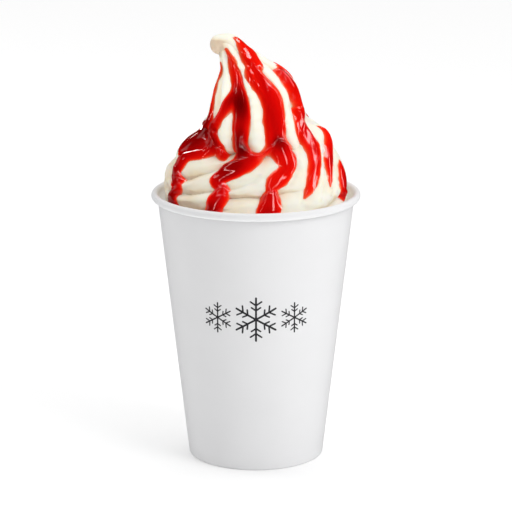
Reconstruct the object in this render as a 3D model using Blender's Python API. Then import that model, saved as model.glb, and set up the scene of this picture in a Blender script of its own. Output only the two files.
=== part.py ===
"""A frozen yogurt cup: a rolled-rim paper cup filled with a tall swirl of soft-serve yogurt.

Three separate bodies are made, in metres, +Z up, with the foot of the cup standing on z = 0:
  cup_wall   one sheet of paper board, folded under at the foot and rolled outwards at the rim
  cup_base   a raised disc whose skirt is gripped by the fold of the wall
  yogurt     the filling, from the base up to the hooked tip of the swirl
The front of the object faces -Y.  Azimuths are in degrees from the front, positive towards +X.
"""
import bpy
import bmesh
import numpy as np
from math import cos, sin, pi, radians

# ------------------------------------------------------------------ driving dimensions
RIM_RADIUS = 0.0450          # outside of the rolled rim
CUP_HEIGHT = 0.1170          # floor to the top of the rolled rim
FOOT_RADIUS = 0.0293         # outside of the foot
WALL_TOP_RADIUS = 0.0425     # outside of the wall just under the roll
BOARD = 0.0005               # thickness of the paper board
GAP = 0.0003                 # clearance between neighbouring bodies
ROLL_WIDTH = 0.0030          # rolled rim, measured across
ROLL_HEIGHT = 0.0034         # rolled rim, measured upwards
ROLL_SWEEP = 270.0           # degrees that the board curls round from the inside of the rim
BASE_HEIGHT = 0.0090         # floor to the middle of the raised disc
SKIRT_BOTTOM = 0.0013        # lower edge of the base's skirt
FOLD_TOP = 0.0072            # upper edge of the board folded up inside the skirt
FOLD_BEND = 0.0005           # bend radius of the folds, at mid-thickness
BASE_BEND = 0.0010           # bend radius where the disc turns into its skirt

FILL_EDGE = 0.1030           # height at which the yogurt leaves the wall and the swirl begins

# The swirl is a stack of rings.  Each station gives one ring's sideways offset, its height,
# its radius and how many degrees it leans over to the left; rings between are interpolated.
SWIRL_STATIONS = np.array([
    (0.0000, 0.1030, 0.0402, 0.0),      # leaves the wall
    (0.0000, 0.1120, 0.0389, 0.0),
    (0.0000, 0.1210, 0.0394, 0.0),      # lower coil, widest
    (0.0003, 0.1280, 0.0380, 0.0),
    (0.0013, 0.1355, 0.0332, 0.0),      # upper coil
    (0.0034, 0.1425, 0.0272, 0.0),
    (0.0012, 0.1490, 0.0221, 0.0),      # foot of the peak
    (0.0003, 0.1550, 0.0197, 0.0),
    (-0.0003, 0.1640, 0.0173, 2.0),     # shoulder of the peak
    (-0.0034, 0.1711, 0.0121, 6.0),
    (-0.0066, 0.1744, 0.0091, 11.0),
    (-0.0096, 0.1778, 0.0066, 24.0),    # neck, bending over
    (-0.0123, 0.1806, 0.0054, 48.0),
    (-0.0156, 0.1806, 0.0043, 96.0),    # last ring before the round end of the hook
])

COIL_PITCH = 0.0137          # rise of the piped coil in one turn
COIL_START = 0.1328          # height of the crease between the two coils, in front
CREASE_DEPTH = 0.0038        # depth of that crease, deeper by CREASE_GAIN one turn higher
CREASE_GAIN = 0.0014
FRONT_DROOP = 0.0120         # how far the coils hang down in front
BACK_LIFT = 0.0040           # how far they ride up behind
SIDE_DROOP = 0.0015          # extra droop on the right, lift on the left
PEAK_FOOT = 0.1465           # height at which the piped lobes of the peak take over
LOBE_COUNT = 8               # lobes of the star nozzle round the peak
LOBE_TWIST = 7.0             # degrees that the lobes turn over the height of the peak
LOBE_HANG = 0.0013           # how much lower a lobe ends than the valley beside it
FLUTE_DEPTH = 0.0017         # depth of the fine flutes on the coils
VALLEY_AZIMUTH = -27.0       # one valley of the peak is deeper than the rest
VALLEY_DEPTH = 0.0012
VALLEY_WIDTH = 9.0

CUP_SEGMENTS = 48            # facets round the cup
SWIRL_SEGMENTS = 72          # facets round the yogurt
SWIRL_LEVELS = 35            # rings up the swirl
HOOK_RINGS = 3               # rings of the rounded end of the hook
ROLL_STEPS = 9               # steps round the rolled rim
BEND_STEPS = 2               # steps round each fold


# ------------------------------------------------------------------ small helpers
def clear_scene():
    """Remove every object of the open file."""
    for thing in list(bpy.data.objects):
        bpy.data.objects.remove(thing, do_unlink=True)


def make_material(name, colour, roughness):
    """A Principled material with one colour and roughness, not metallic."""
    material = bpy.data.materials.new(name)
    material.use_nodes = True
    shader = material.node_tree.nodes["Principled BSDF"]
    shader.inputs["Base Color"].default_value = (*colour, 1.0)
    shader.inputs["Roughness"].default_value = roughness
    shader.inputs["Metallic"].default_value = 0.0
    return material


def ease(start, end, x):
    """0 before start, 1 after end, with a smooth S between them."""
    t = np.clip((x - start) / (end - start), 0.0, 1.0)
    return t * t * (3.0 - 2.0 * t)


def smooth_through(knots, values, x):
    """A cubic curve through the values at the knots, with matching slopes where pieces meet."""
    slopes = np.gradient(values, knots)
    i = np.clip(np.searchsorted(knots, x, side="right") - 1, 0, len(knots) - 2)
    span = knots[i + 1] - knots[i]
    t = (x - knots[i]) / span
    return ((2 * t**3 - 3 * t**2 + 1) * values[i] + (t**3 - 2 * t**2 + t) * span * slopes[i]
            + (3 * t**2 - 2 * t**3) * values[i + 1] + (t**3 - t**2) * span * slopes[i + 1])


def loft(name, rings, closed_tube, material):
    """Bridge a list of rings into one body; a ring of one point is a pole.

    With closed_tube the last ring is bridged back to the first, as on a turned shell.
    """
    mesh = bmesh.new()
    levels = [[mesh.verts.new(point) for point in ring] for ring in rings]
    if closed_tube:
        levels.append(levels[0])
    for lower, upper in zip(levels, levels[1:]):
        count = max(len(lower), len(upper))
        for k in range(count):
            n = (k + 1) % count
            if len(lower) == 1:
                mesh.faces.new((lower[0], upper[n], upper[k]))
            elif len(upper) == 1:
                mesh.faces.new((lower[k], lower[n], upper[0]))
            else:
                mesh.faces.new((lower[k], lower[n], upper[n], upper[k]))
    bmesh.ops.recalc_face_normals(mesh, faces=mesh.faces)
    data = bpy.data.meshes.new(name)
    mesh.to_mesh(data)
    mesh.free()
    data.materials.append(material)
    data.shade_smooth()
    data.set_sharp_from_angle(angle=radians(50.0))
    body = bpy.data.objects.new(name, data)
    bpy.context.scene.collection.objects.link(body)
    return body


def turned_ring(radius, height, segments):
    """The points of a level circle, or a single point on the axis."""
    if radius < 1e-9:
        return [(0.0, 0.0, height)]
    turns = [2.0 * pi * k / segments for k in range(segments)]
    return [(radius * cos(t), radius * sin(t), height) for t in turns]


def arc(centre, radius_r, radius_z, start, end, steps):
    """Points (r, z) along an elliptical arc, angles in degrees from the outward direction."""
    angles = [radians(start + (end - start) * k / steps) for k in range(steps + 1)]
    return [(centre[0] + radius_r * cos(a), centre[1] + radius_z * sin(a)) for a in angles]


def board_profile(line):
    """The closed outline of a board whose mid-line is given, half a thickness to each side.

    At each point the two neighbouring normals are added to a mitre, so flat runs stay flat.
    """
    points = np.array(line)
    steps = np.diff(points, axis=0)
    normals = np.stack([-steps[:, 1], steps[:, 0]], axis=1)
    normals /= np.linalg.norm(steps, axis=1)[:, None]
    mitre = np.concatenate([normals[:1], normals]) + np.concatenate([normals, normals[-1:]])
    across = mitre * BOARD / np.sum(mitre**2, axis=1)[:, None]
    return np.concatenate([points + across, (points - across)[::-1]])


# ------------------------------------------------------------------ the cup
def wall_middle(height):
    """Radius of the cone's mid-thickness at a height."""
    foot = FOOT_RADIUS - BOARD / 2.0
    top = WALL_TOP_RADIUS - BOARD / 2.0
    return foot + (top - foot) * height / (CUP_HEIGHT - ROLL_HEIGHT / 2.0)


# From the outside in, the foot is wall, gap, skirt, gap, folded board.
SKIRT_INSET = BOARD + GAP
FOLD_INSET = 2.0 * SKIRT_INSET


def make_cup_wall(material):
    """The conical wall: folded up inside the foot, straight up, then rolled outwards."""
    half = BOARD / 2.0
    inner = wall_middle(0.0) - FOLD_INSET
    outer = wall_middle(FOLD_BEND)
    fold_height = half + FOLD_BEND
    line = [(wall_middle(FOLD_TOP) - FOLD_INSET, FOLD_TOP)]
    line += arc((inner + FOLD_BEND, fold_height), FOLD_BEND, FOLD_BEND, 180.0, 270.0, BEND_STEPS)
    line += arc((outer - FOLD_BEND, fold_height), FOLD_BEND, FOLD_BEND, 270.0, 360.0, BEND_STEPS)
    roll_r = ROLL_WIDTH / 2.0 - half
    roll_z = ROLL_HEIGHT / 2.0 - half
    roll_centre = (RIM_RADIUS - ROLL_WIDTH / 2.0, CUP_HEIGHT - ROLL_HEIGHT / 2.0)
    line += arc(roll_centre, roll_r, roll_z, 180.0, 180.0 - ROLL_SWEEP, ROLL_STEPS)
    rings = [turned_ring(r, z, CUP_SEGMENTS) for r, z in board_profile(line)]
    return loft("cup_wall", rings, True, material)


def make_cup_base(material):
    """The raised disc, bent down at its edge into the skirt that the wall's fold grips."""
    corner_r = wall_middle(BASE_HEIGHT) - SKIRT_INSET - BASE_BEND
    line = [(wall_middle(SKIRT_BOTTOM) - SKIRT_INSET, SKIRT_BOTTOM)]
    line += arc((corner_r, BASE_HEIGHT - BASE_BEND), BASE_BEND, BASE_BEND, 0.0, 90.0, BEND_STEPS + 1)
    profile = list(board_profile(line))
    inside, outside = profile[:len(line)], profile[len(line):]
    outline = [(0.0, BASE_HEIGHT - BOARD / 2.0)] + inside[::-1] + outside[::-1] \
        + [(0.0, BASE_HEIGHT + BOARD / 2.0)]
    rings = [turned_ring(r, z, CUP_SEGMENTS) for r, z in outline]
    return loft("cup_base", rings, False, material)


# ------------------------------------------------------------------ the swirl
STATION_STEPS = np.hypot(np.diff(SWIRL_STATIONS[:, 0]), np.diff(SWIRL_STATIONS[:, 1]))
STATION_WAY = FILL_EDGE + np.concatenate([[0.0], np.cumsum(STATION_STEPS)])


def station_value(column, way):
    """One column of the stations at a way w, counted along the swirl's centre line."""
    return smooth_through(STATION_WAY, SWIRL_STATIONS[:, column], way)


def droop(way, azimuth):
    """How far the coils hang in front and ride up behind; nothing at the wall or the peak."""
    front = np.cos(np.radians(azimuth))
    side = np.sin(np.radians(azimuth))
    fall = np.where(front > 0.0, FRONT_DROOP, BACK_LIFT) * front + SIDE_DROOP * side**3
    return fall * ease(0.102, 0.128, way) * (1.0 - ease(0.136, 0.172, way))


def coil_crease(azimuth):
    """Height of the crease of the piped coil, azimuth counted on past a full turn."""
    return COIL_START + COIL_PITCH * azimuth / 360.0


def lobe_angle(way, azimuth):
    """Phase of the peak's lobes: LOBE_COUNT crests to a turn, twisting as they rise."""
    crest = -LOBE_TWIST * ease(0.150, 0.172, way)
    return LOBE_COUNT * np.radians(azimuth - crest)


def flute_angle(way, azimuth):
    """Phase of the coils' flutes: level on the left, slanting in front, steep on the right."""
    turn = np.radians(azimuth)
    height = (way - coil_crease(azimuth)) / COIL_PITCH
    steep = np.exp(-((azimuth - 50.0) / 55.0) ** 2) * ease(180.0, 140.0, np.abs(azimuth))
    rows = 2.0 - 1.4 * steep
    columns = azimuth / 30.0 - 1.203 * np.cos(turn + radians(10.0)) \
        - 0.229 * np.sin(2.0 * turn + radians(120.0))
    return 2.0 * pi * (rows * height - columns + 0.15)


def crease_cut(way, azimuth, hang):
    """Depth of the coil's crease: a sharp cusp between two round rolls, for each turn."""
    cut = np.zeros_like(way)
    for turn in (-360.0, 0.0, 360.0):
        along = azimuth + turn
        depth = CREASE_DEPTH + CREASE_GAIN * ease(0.0, 360.0, along)
        depth = depth * ease(-420.0, -300.0, along) * (1.0 - ease(300.0, 500.0, along))
        lower = hang * ease(200.0, 300.0, along)
        off = np.minimum(np.abs(way - coil_crease(along) + lower) / (COIL_PITCH / 2.0), 1.0)
        cut = cut + depth * (1.0 - np.sqrt(1.0 - (1.0 - off) ** 2))
    return cut


def swirl_radius(way, azimuth):
    """Radius of the swirl: the station's radius less the crease, the flutes and the valleys."""
    lobes = lobe_angle(way, azimuth)
    flute = 1.0 - np.abs(np.sin(flute_angle(way, azimuth) / 2.0))
    valley = 1.0 - np.abs(np.cos(lobes / 2.0))
    on_peak = ease(PEAK_FOOT - 0.002, PEAK_FOOT + 0.003, way)
    flute_depth = FLUTE_DEPTH * ease(0.100, 0.112, way)
    valley_depth = np.interp(way, [0.140, 0.150, 0.165, 0.175, 0.183, 0.194],
                             [0.0030, 0.0040, 0.0036, 0.0023, 0.0011, 0.0000])
    cut = crease_cut(way, azimuth, LOBE_HANG * np.cos(lobes))
    cut = cut + (1.0 - on_peak) * flute_depth * flute + on_peak * valley_depth * valley
    deep = np.exp(-((azimuth - VALLEY_AZIMUTH) / VALLEY_WIDTH) ** 2) * ease(0.182, 0.165, way)
    cut = cut + on_peak * VALLEY_DEPTH * deep
    return station_value(2, way) - cut


def swirl_ring(way, azimuth):
    """Centre, upward direction and points of one ring of the swirl."""
    lean = radians(float(station_value(3, way)))
    centre = np.array([float(station_value(0, way)), 0.0, float(station_value(1, way))])
    right = np.array([cos(lean), 0.0, sin(lean)])
    upward = np.array([-sin(lean), 0.0, cos(lean)])
    ways = np.full_like(azimuth, way)
    radius = swirl_radius(ways, azimuth)[:, None]
    turn = np.radians(azimuth)[:, None]
    points = centre + radius * (np.sin(turn) * right - np.cos(turn) * np.array([0.0, 1.0, 0.0]))
    points[:, 2] -= droop(ways, azimuth)
    return centre, upward, points


def make_yogurt(material):
    """The filling: inside of the cup up to FILL_EDGE, then the swirl and its hooked tip."""
    azimuth = np.linspace(-180.0, 180.0, SWIRL_SEGMENTS, endpoint=False)
    turn = np.radians(azimuth)
    bottom = BASE_HEIGHT + BOARD / 2.0 + GAP
    rings = [[(0.0, 0.0, bottom)]]
    for height in (bottom, (bottom + FILL_EDGE) / 2.0):
        radius = wall_middle(height) - BOARD / 2.0 - GAP
        rings.append([(radius * sin(t), -radius * cos(t), height) for t in turn])
    last_way = STATION_WAY[-1]
    for level in range(SWIRL_LEVELS):
        way = FILL_EDGE + (last_way - FILL_EDGE) * level / (SWIRL_LEVELS - 1)
        centre, upward, points = swirl_ring(way, azimuth)
        rings.append([tuple(p) for p in points])
    reach = SWIRL_STATIONS[-1, 2] * 0.92
    for k in range(1, HOOK_RINGS + 1):
        bend = pi / 2.0 * k / (HOOK_RINGS + 1)
        cap = centre + upward * reach * sin(bend) + (points - centre) * cos(bend)
        rings.append([tuple(p) for p in cap])
    rings.append([tuple(centre + upward * reach)])
    return loft("yogurt", rings, False, material)


# ------------------------------------------------------------------ build
clear_scene()
make_cup_wall(make_material("white_paper_board", (0.86, 0.86, 0.87), 0.5))
make_cup_base(make_material("white_base_board", (0.84, 0.84, 0.84), 0.6))
make_yogurt(make_material("vanilla_frozen_yogurt", (0.92, 0.89, 0.80), 0.35))
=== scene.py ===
# %% [markdown]
# # A cup of frozen yogurt with red fruit sauce
#
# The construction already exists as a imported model: a paper cup wall, its raised base and a plain
# solid of yogurt.  This script dresses it.  The looks could be sculpted over that model by hand, but
# here every surface is worked out from named sizes, so it keeps the model's own and can be changed
# by changing a number.  The pieces get the finish of the real ones: coated paper board, moist
# soft-serve and glossy sauce.

# %% Load the frame
import bpy
import numpy as np
from math import cos, sin, pi, radians, sqrt
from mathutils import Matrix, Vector


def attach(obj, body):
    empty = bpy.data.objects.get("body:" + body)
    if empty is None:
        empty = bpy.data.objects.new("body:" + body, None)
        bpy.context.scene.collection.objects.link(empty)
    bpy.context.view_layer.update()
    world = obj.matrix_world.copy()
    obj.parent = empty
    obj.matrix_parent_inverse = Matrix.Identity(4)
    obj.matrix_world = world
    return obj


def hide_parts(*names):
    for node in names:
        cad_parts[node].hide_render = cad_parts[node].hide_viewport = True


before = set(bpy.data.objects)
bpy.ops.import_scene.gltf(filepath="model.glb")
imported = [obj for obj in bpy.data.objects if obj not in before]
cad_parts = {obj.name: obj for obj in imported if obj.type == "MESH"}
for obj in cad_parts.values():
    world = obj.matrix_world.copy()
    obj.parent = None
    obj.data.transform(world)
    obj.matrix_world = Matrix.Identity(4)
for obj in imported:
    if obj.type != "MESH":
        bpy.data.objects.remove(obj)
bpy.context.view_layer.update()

MM = 0.001


# %% [markdown]
# A few small helpers come first.  Colours are written the way a paint chart gives them, as sRGB hex,
# and one function turns them into the linear numbers that a renderer mixes.  `ease` is the smooth
# step that blends one shape into another, and `between` is two of them back to back.  The last two
# start a material and add a shader node with its settings and links.

# %% Helpers for numbers and shader nodes
def linear(hex_colour):
    """sRGB hex to linear RGBA: each channel is undone with the standard sRGB curve."""
    channels = [int(hex_colour[k:k + 2], 16) / 255.0 for k in (1, 3, 5)]
    return [c / 12.92 if c <= 0.04045 else ((c + 0.055) / 1.055) ** 2.4 for c in channels] + [1.0]


def ease(start, end, x):
    """0 before start, 1 after end, and the S-curve t*t*(3 - 2t) between them."""
    t = np.clip((x - start) / (end - start), 0.0, 1.0)
    return t * t * (3.0 - 2.0 * t)


def between(start, full, fading, end, x):
    """0 before start and after end, 1 from full to fading, with an S-curve on each side."""
    return ease(start, full, x) * (1.0 - ease(fading, end, x))


def bell(middle, reach, x):
    """The bell curve exp(-u*u), where u is the distance from the middle in reaches."""
    return np.exp(-((x - middle) / reach) ** 2)


def add_node(tree, kind, inputs=None, **settings):
    """One shader node: settings go on the node, inputs are values or another node's output."""
    node = tree.nodes.new(kind)
    for name, value in settings.items():
        setattr(node, name, value)
    for name, value in (inputs or {}).items():
        if isinstance(value, bpy.types.NodeSocket):
            tree.links.new(value, node.inputs[name])
        else:
            node.inputs[name].default_value = value
    return node


def new_material(name):
    """An empty material and its tree, with only the output node in it."""
    material = bpy.data.materials.new(name)
    material.use_nodes = True
    tree = material.node_tree
    tree.nodes.clear()
    return material, tree, add_node(tree, "ShaderNodeOutputMaterial")


print("mid grey #808080 is", round(linear("#808080")[0], 3), "in linear light")


# %% [markdown]
# Blender's own circles and tubes could be bent into these shapes, but a curved surface is easier to
# control as a grid of points: rows along one direction, columns along the other.  One function turns
# such a grid into a mesh, another joins the last column to the first, as on anything turned, and a
# third closes both ends with a pole.  A number kept on each point can steer a material later.

# %% From a grid of points to a mesh
def add_mesh(name, points, quads, triangles=()):
    """A smooth-shaded mesh from points in metres and lists of corner numbers."""
    faces = [tuple(q) for q in np.asarray(quads).tolist()] + [tuple(t) for t in triangles]
    mesh = bpy.data.meshes.new(name)
    mesh.from_pydata(np.asarray(points, dtype=float).reshape(-1, 3).tolist(), [], faces)
    mesh.validate()
    mesh.shade_smooth()
    piece = bpy.data.objects.new(name, mesh)
    bpy.context.scene.collection.objects.link(piece)
    print(f"{name}: {len(mesh.vertices)} points, {len(mesh.polygons)} faces")
    return piece


def grid_quads(rows, columns, joined, start=0):
    """Corner numbers of the quads of a grid; joined links the last column to the first."""
    row = np.arange(rows - 1)[:, None] * columns + start
    here = np.arange(columns if joined else columns - 1)[None, :]
    after = (here + 1) % columns
    return np.stack([row + here, row + after, row + columns + after, row + columns + here],
                    axis=-1).reshape(-1, 4)


def pole_caps(rows, columns):
    """Two fans: the first row to the point numbered after the grid, the last row to the next one."""
    around = [(k, (k + 1) % columns) for k in range(columns)]
    count = rows * columns
    last = count - columns
    return [(b, a, count) for a, b in around] + [(last + a, last + b, count + 1) for a, b in around]


def surface_normals(points):
    """Unit cross product of the slopes along columns and rows."""
    normal = np.cross(np.gradient(points, axis=1), np.gradient(points, axis=0))
    return normal / np.linalg.norm(normal, axis=-1, keepdims=True)


def set_attribute(piece, name, values):
    """One number for each point, which a material can read by name."""
    attribute = piece.data.attributes.new(name, "FLOAT", "POINT")
    attribute.data.foreach_set("value", np.asarray(values, dtype=np.float32).ravel())


# %% [markdown]
# ## The swirl
#
# Soft-serve leaves the machine through a star-shaped nozzle, so it is a fluted rope laid in coils.
# It could be a star swept along a spiral, but such coils cut through each other.  Here the whole
# swirl is one skin.  A point on it has a *way* (how far up the centre line its ring sits) and an
# *azimuth* (degrees round from the front, positive to the right).  The radius is a smooth envelope,
# less a sharp crease that winds up like a screw thread, less the flutes.  The solid was made with
# the same sizes and formulas, so the fine skin stays close to it.

# %% Sizes of the swirl, as the solid has them
FILL_EDGE = 0.1030           # height at which the yogurt leaves the wall
SWIRL_STATIONS = np.array([  # sideways offset, height, radius, degrees of lean to the left
    (0.0000, 0.1030, 0.0402, 0.0),      # leaves the wall
    (0.0000, 0.1120, 0.0389, 0.0),
    (0.0000, 0.1210, 0.0394, 0.0),      # lower coil, widest
    (0.0003, 0.1280, 0.0380, 0.0),
    (0.0013, 0.1355, 0.0332, 0.0),      # upper coil
    (0.0034, 0.1425, 0.0272, 0.0),
    (0.0012, 0.1490, 0.0221, 0.0),      # foot of the peak
    (0.0003, 0.1550, 0.0197, 0.0),
    (-0.0003, 0.1640, 0.0173, 2.0),     # shoulder of the peak
    (-0.0034, 0.1711, 0.0121, 6.0),
    (-0.0066, 0.1744, 0.0091, 11.0),
    (-0.0096, 0.1778, 0.0066, 24.0),    # neck, bending over
    (-0.0123, 0.1806, 0.0054, 48.0),
    (-0.0156, 0.1806, 0.0043, 96.0),    # last ring before the round end of the hook
])
COIL_PITCH = 0.0137          # rise of the coil in one turn
COIL_START = 0.1328          # height of the crease between the two coils, in front
CREASE_DEPTH = 0.0038        # depth of that crease, deeper by CREASE_GAIN one turn higher
CREASE_GAIN = 0.0014
FRONT_DROOP = 0.0120         # how far the coils hang down in front
BACK_LIFT = 0.0040           # how far they ride up behind
SIDE_DROOP = 0.0015          # extra droop on the right, lift on the left
DROOP_RUN = (0.102, 0.128, 0.136, 0.172)    # ways where it starts, is full, fades and ends
PEAK_FOOT = 0.1465           # height at which the lobes of the peak take over
PEAK_RISE = (PEAK_FOOT - 0.002, PEAK_FOOT + 0.003)
LOBE_COUNT = 8               # lobes of the star nozzle round the peak
LOBE_TWIST = 7.0             # degrees that the lobes turn between these two ways
TWIST_RUN = (0.150, 0.172)
LOBE_HANG = 0.0013           # how much lower a lobe ends than the valley beside it
FLUTE_DEPTH = 0.0017         # depth of the fine flutes on the coils
FLUTE_START = (0.100, 0.112)
VALLEY_AZIMUTH = -27.0       # one valley of the peak is deeper than the rest
VALLEY_DEPTH = 0.0012
VALLEY_WIDTH = 9.0
VALLEY_END = (0.182, 0.165)
PEAK_VALLEYS = np.array([(0.140, 0.0030), (0.150, 0.0040), (0.165, 0.0036), (0.175, 0.0023),
                         (0.183, 0.0009), (0.189, 0.0000)])     # way, and depth of the valleys there
STATION_STEPS = np.hypot(np.diff(SWIRL_STATIONS[:, 0]), np.diff(SWIRL_STATIONS[:, 1]))
STATION_WAY = FILL_EDGE + np.concatenate([[0.0], np.cumsum(STATION_STEPS)])
print(f"the centre line runs from {STATION_WAY[0] / MM:.0f} to {STATION_WAY[-1] / MM:.1f} mm")


# %% [markdown]
# The stations are few, so a curve has to join them.  Straight pieces would leave a corner at each
# station, and one high polynomial would swing about, so a cubic runs from each to the next with the
# slopes matched.  The droop lets the coils hang in front, as soft yogurt does over its own weight.

# %% The envelope: offset, height, radius and lean along the way
def cubic(t, start, end, start_slope, end_slope):
    """Hermite's cubic: both ends and both slopes, each times its own polynomial of t."""
    return ((2 * t**3 - 3 * t**2 + 1) * start + (t**3 - 2 * t**2 + t) * start_slope
            + (3 * t**2 - 2 * t**3) * end + (t**3 - t**2) * end_slope)


def station_value(column, way):
    """Cubic curve through one column of the stations, slopes matched at every station."""
    values = SWIRL_STATIONS[:, column]
    slopes = np.gradient(values, STATION_WAY)
    i = np.clip(np.searchsorted(STATION_WAY, way, side="right") - 1, 0, len(values) - 2)
    span = STATION_WAY[i + 1] - STATION_WAY[i]
    t = (way - STATION_WAY[i]) / span
    return cubic(t, values[i], values[i + 1], span * slopes[i], span * slopes[i + 1])


def droop(way, azimuth):
    """Coils hang by a cosine in front and rise behind; nothing at the wall or on the peak."""
    front = np.cos(np.radians(azimuth))
    side = np.sin(np.radians(azimuth))
    fall = np.where(front > 0.0, FRONT_DROOP, BACK_LIFT) * front + SIDE_DROOP * side**3
    return fall * between(*DROOP_RUN, way)


def swirl_points(way, azimuth, radius):
    """Centre of the ring, plus radius times (sin azimuth to the right, cos azimuth forwards)."""
    lean = np.radians(station_value(3, way))
    turn = np.radians(azimuth)
    x = station_value(0, way) + radius * np.sin(turn) * np.cos(lean)
    y = -radius * np.cos(turn)
    z = station_value(1, way) + radius * np.sin(turn) * np.sin(lean) - droop(way, azimuth)
    return np.stack([x, y, z], axis=-1)


def on_envelope(way, azimuth):
    """The place on the smooth envelope, before any cut."""
    return swirl_points(way, azimuth, station_value(2, way))


print("the coils hang", float(droop(0.131, 0.0)) / MM, "mm in front")


# %% [markdown]
# The cuts into that envelope are what makes it look piped.  Between two coils the rope meets itself
# in a narrow cusp; round the peak eight lobes run up and twist a little; on the coils finer flutes
# lie level on the left and stand steep on the right, where the rope turned over.  All of them are
# formulas of way and azimuth, because a repeated pattern is truer as a formula than as hand work.

# %% The cuts: crease, lobes and flutes
CREASE_RUN = (-420.0, -300.0, 300.0, 500.0)     # degrees along the screw from its start to its end
LEFT_TO_FOLDS = [            # share of the crease that the folds in front stand in for, and where
    (0.97, (-76.0, -62.0, -32.0, -20.0)),
    (0.88, (8.0, 40.0, 95.0, 140.0)),
]
HANG_RUN = (200.0, 300.0)    # degrees along the screw where the lobes start to hang over it
FRONT = (-125.0, -95.0, 105.0, 130.0)           # azimuths of the folds in front
FLUTE_ROWS = 2.0             # level flutes between two creases
ROWS_LOST = 1.4              # how many of them are gone where the flutes stand steep
STEEP_AZIMUTH, STEEP_REACH = 50.0, 55.0
STEEP_END = (180.0, 140.0)
FLUTE_SPACING = 30.0         # mean degrees between steep flutes, crowded by two waves:
CROWDING = ((1.203, 10.0), (0.229, 120.0))      # size in flutes, and phase in degrees
FLUTE_PHASE = 0.15


def coil_crease(azimuth):
    """The crease climbs one pitch for each full turn."""
    return COIL_START + COIL_PITCH * azimuth / 360.0


def lobe_angle(way, azimuth):
    """LOBE_COUNT crests to a turn, shifted as they rise."""
    return LOBE_COUNT * np.radians(azimuth + LOBE_TWIST * ease(*TWIST_RUN, way))


def flute_angle(way, azimuth):
    """Rows counted up between the creases less columns counted round, as one phase."""
    turn = np.radians(azimuth)
    height = (way - coil_crease(azimuth)) / COIL_PITCH
    steep = bell(STEEP_AZIMUTH, STEEP_REACH, azimuth) * ease(*STEEP_END, np.abs(azimuth))
    (first, first_phase), (second, second_phase) = CROWDING
    columns = (azimuth / FLUTE_SPACING - first * np.cos(turn + radians(first_phase))
               - second * np.sin(2.0 * turn + radians(second_phase)))
    return 2.0 * pi * ((FLUTE_ROWS - ROWS_LOST * steep) * height - columns + FLUTE_PHASE)


def crease_cut(way, azimuth, hang):
    """For each turn: depth times one minus a quarter circle of the distance from the crease."""
    cut = np.zeros_like(way)
    for turn in (-360.0, 0.0, 360.0):
        along = azimuth + turn
        depth = (CREASE_DEPTH + CREASE_GAIN * ease(0.0, 360.0, along)) * between(*CREASE_RUN, along)
        for share, run in LEFT_TO_FOLDS:
            depth = depth * (1.0 - share * between(*run, along))
        lower = hang * ease(*HANG_RUN, along)
        off = np.minimum(np.abs(way - coil_crease(along) + lower) / (COIL_PITCH / 2.0), 1.0)
        cut = cut + depth * (1.0 - np.sqrt(1.0 - (1.0 - off) ** 2))
    return cut


def swirl_cut(way, azimuth):
    """Everything taken off the envelope at a point, in metres: crease, flutes behind, valleys."""
    lobes = lobe_angle(way, azimuth)
    on_peak = ease(*PEAK_RISE, way)
    flute = 1.0 - np.abs(np.sin(flute_angle(way, azimuth) / 2.0))
    flutes = FLUTE_DEPTH * ease(*FLUTE_START, way) * flute * (1.0 - between(*FRONT, azimuth))
    valleys = np.interp(way, *PEAK_VALLEYS.T) * (1.0 - np.abs(np.cos(lobes / 2.0)))
    deepest = VALLEY_DEPTH * bell(VALLEY_AZIMUTH, VALLEY_WIDTH, azimuth) * ease(*VALLEY_END, way)
    return (crease_cut(way, azimuth, LOBE_HANG * np.cos(lobes))
            + (1.0 - on_peak) * flutes + on_peak * (valleys + deepest))


# %% [markdown]
# On the coils in front no formula gives the right folds, because the rope was stretched and turned
# over by hand.  There every groove is placed one by one: way and azimuth of a few places along it,
# its depth and its half-width in mm.  A few wide presses and one swelling finish the shoulders.

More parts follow.
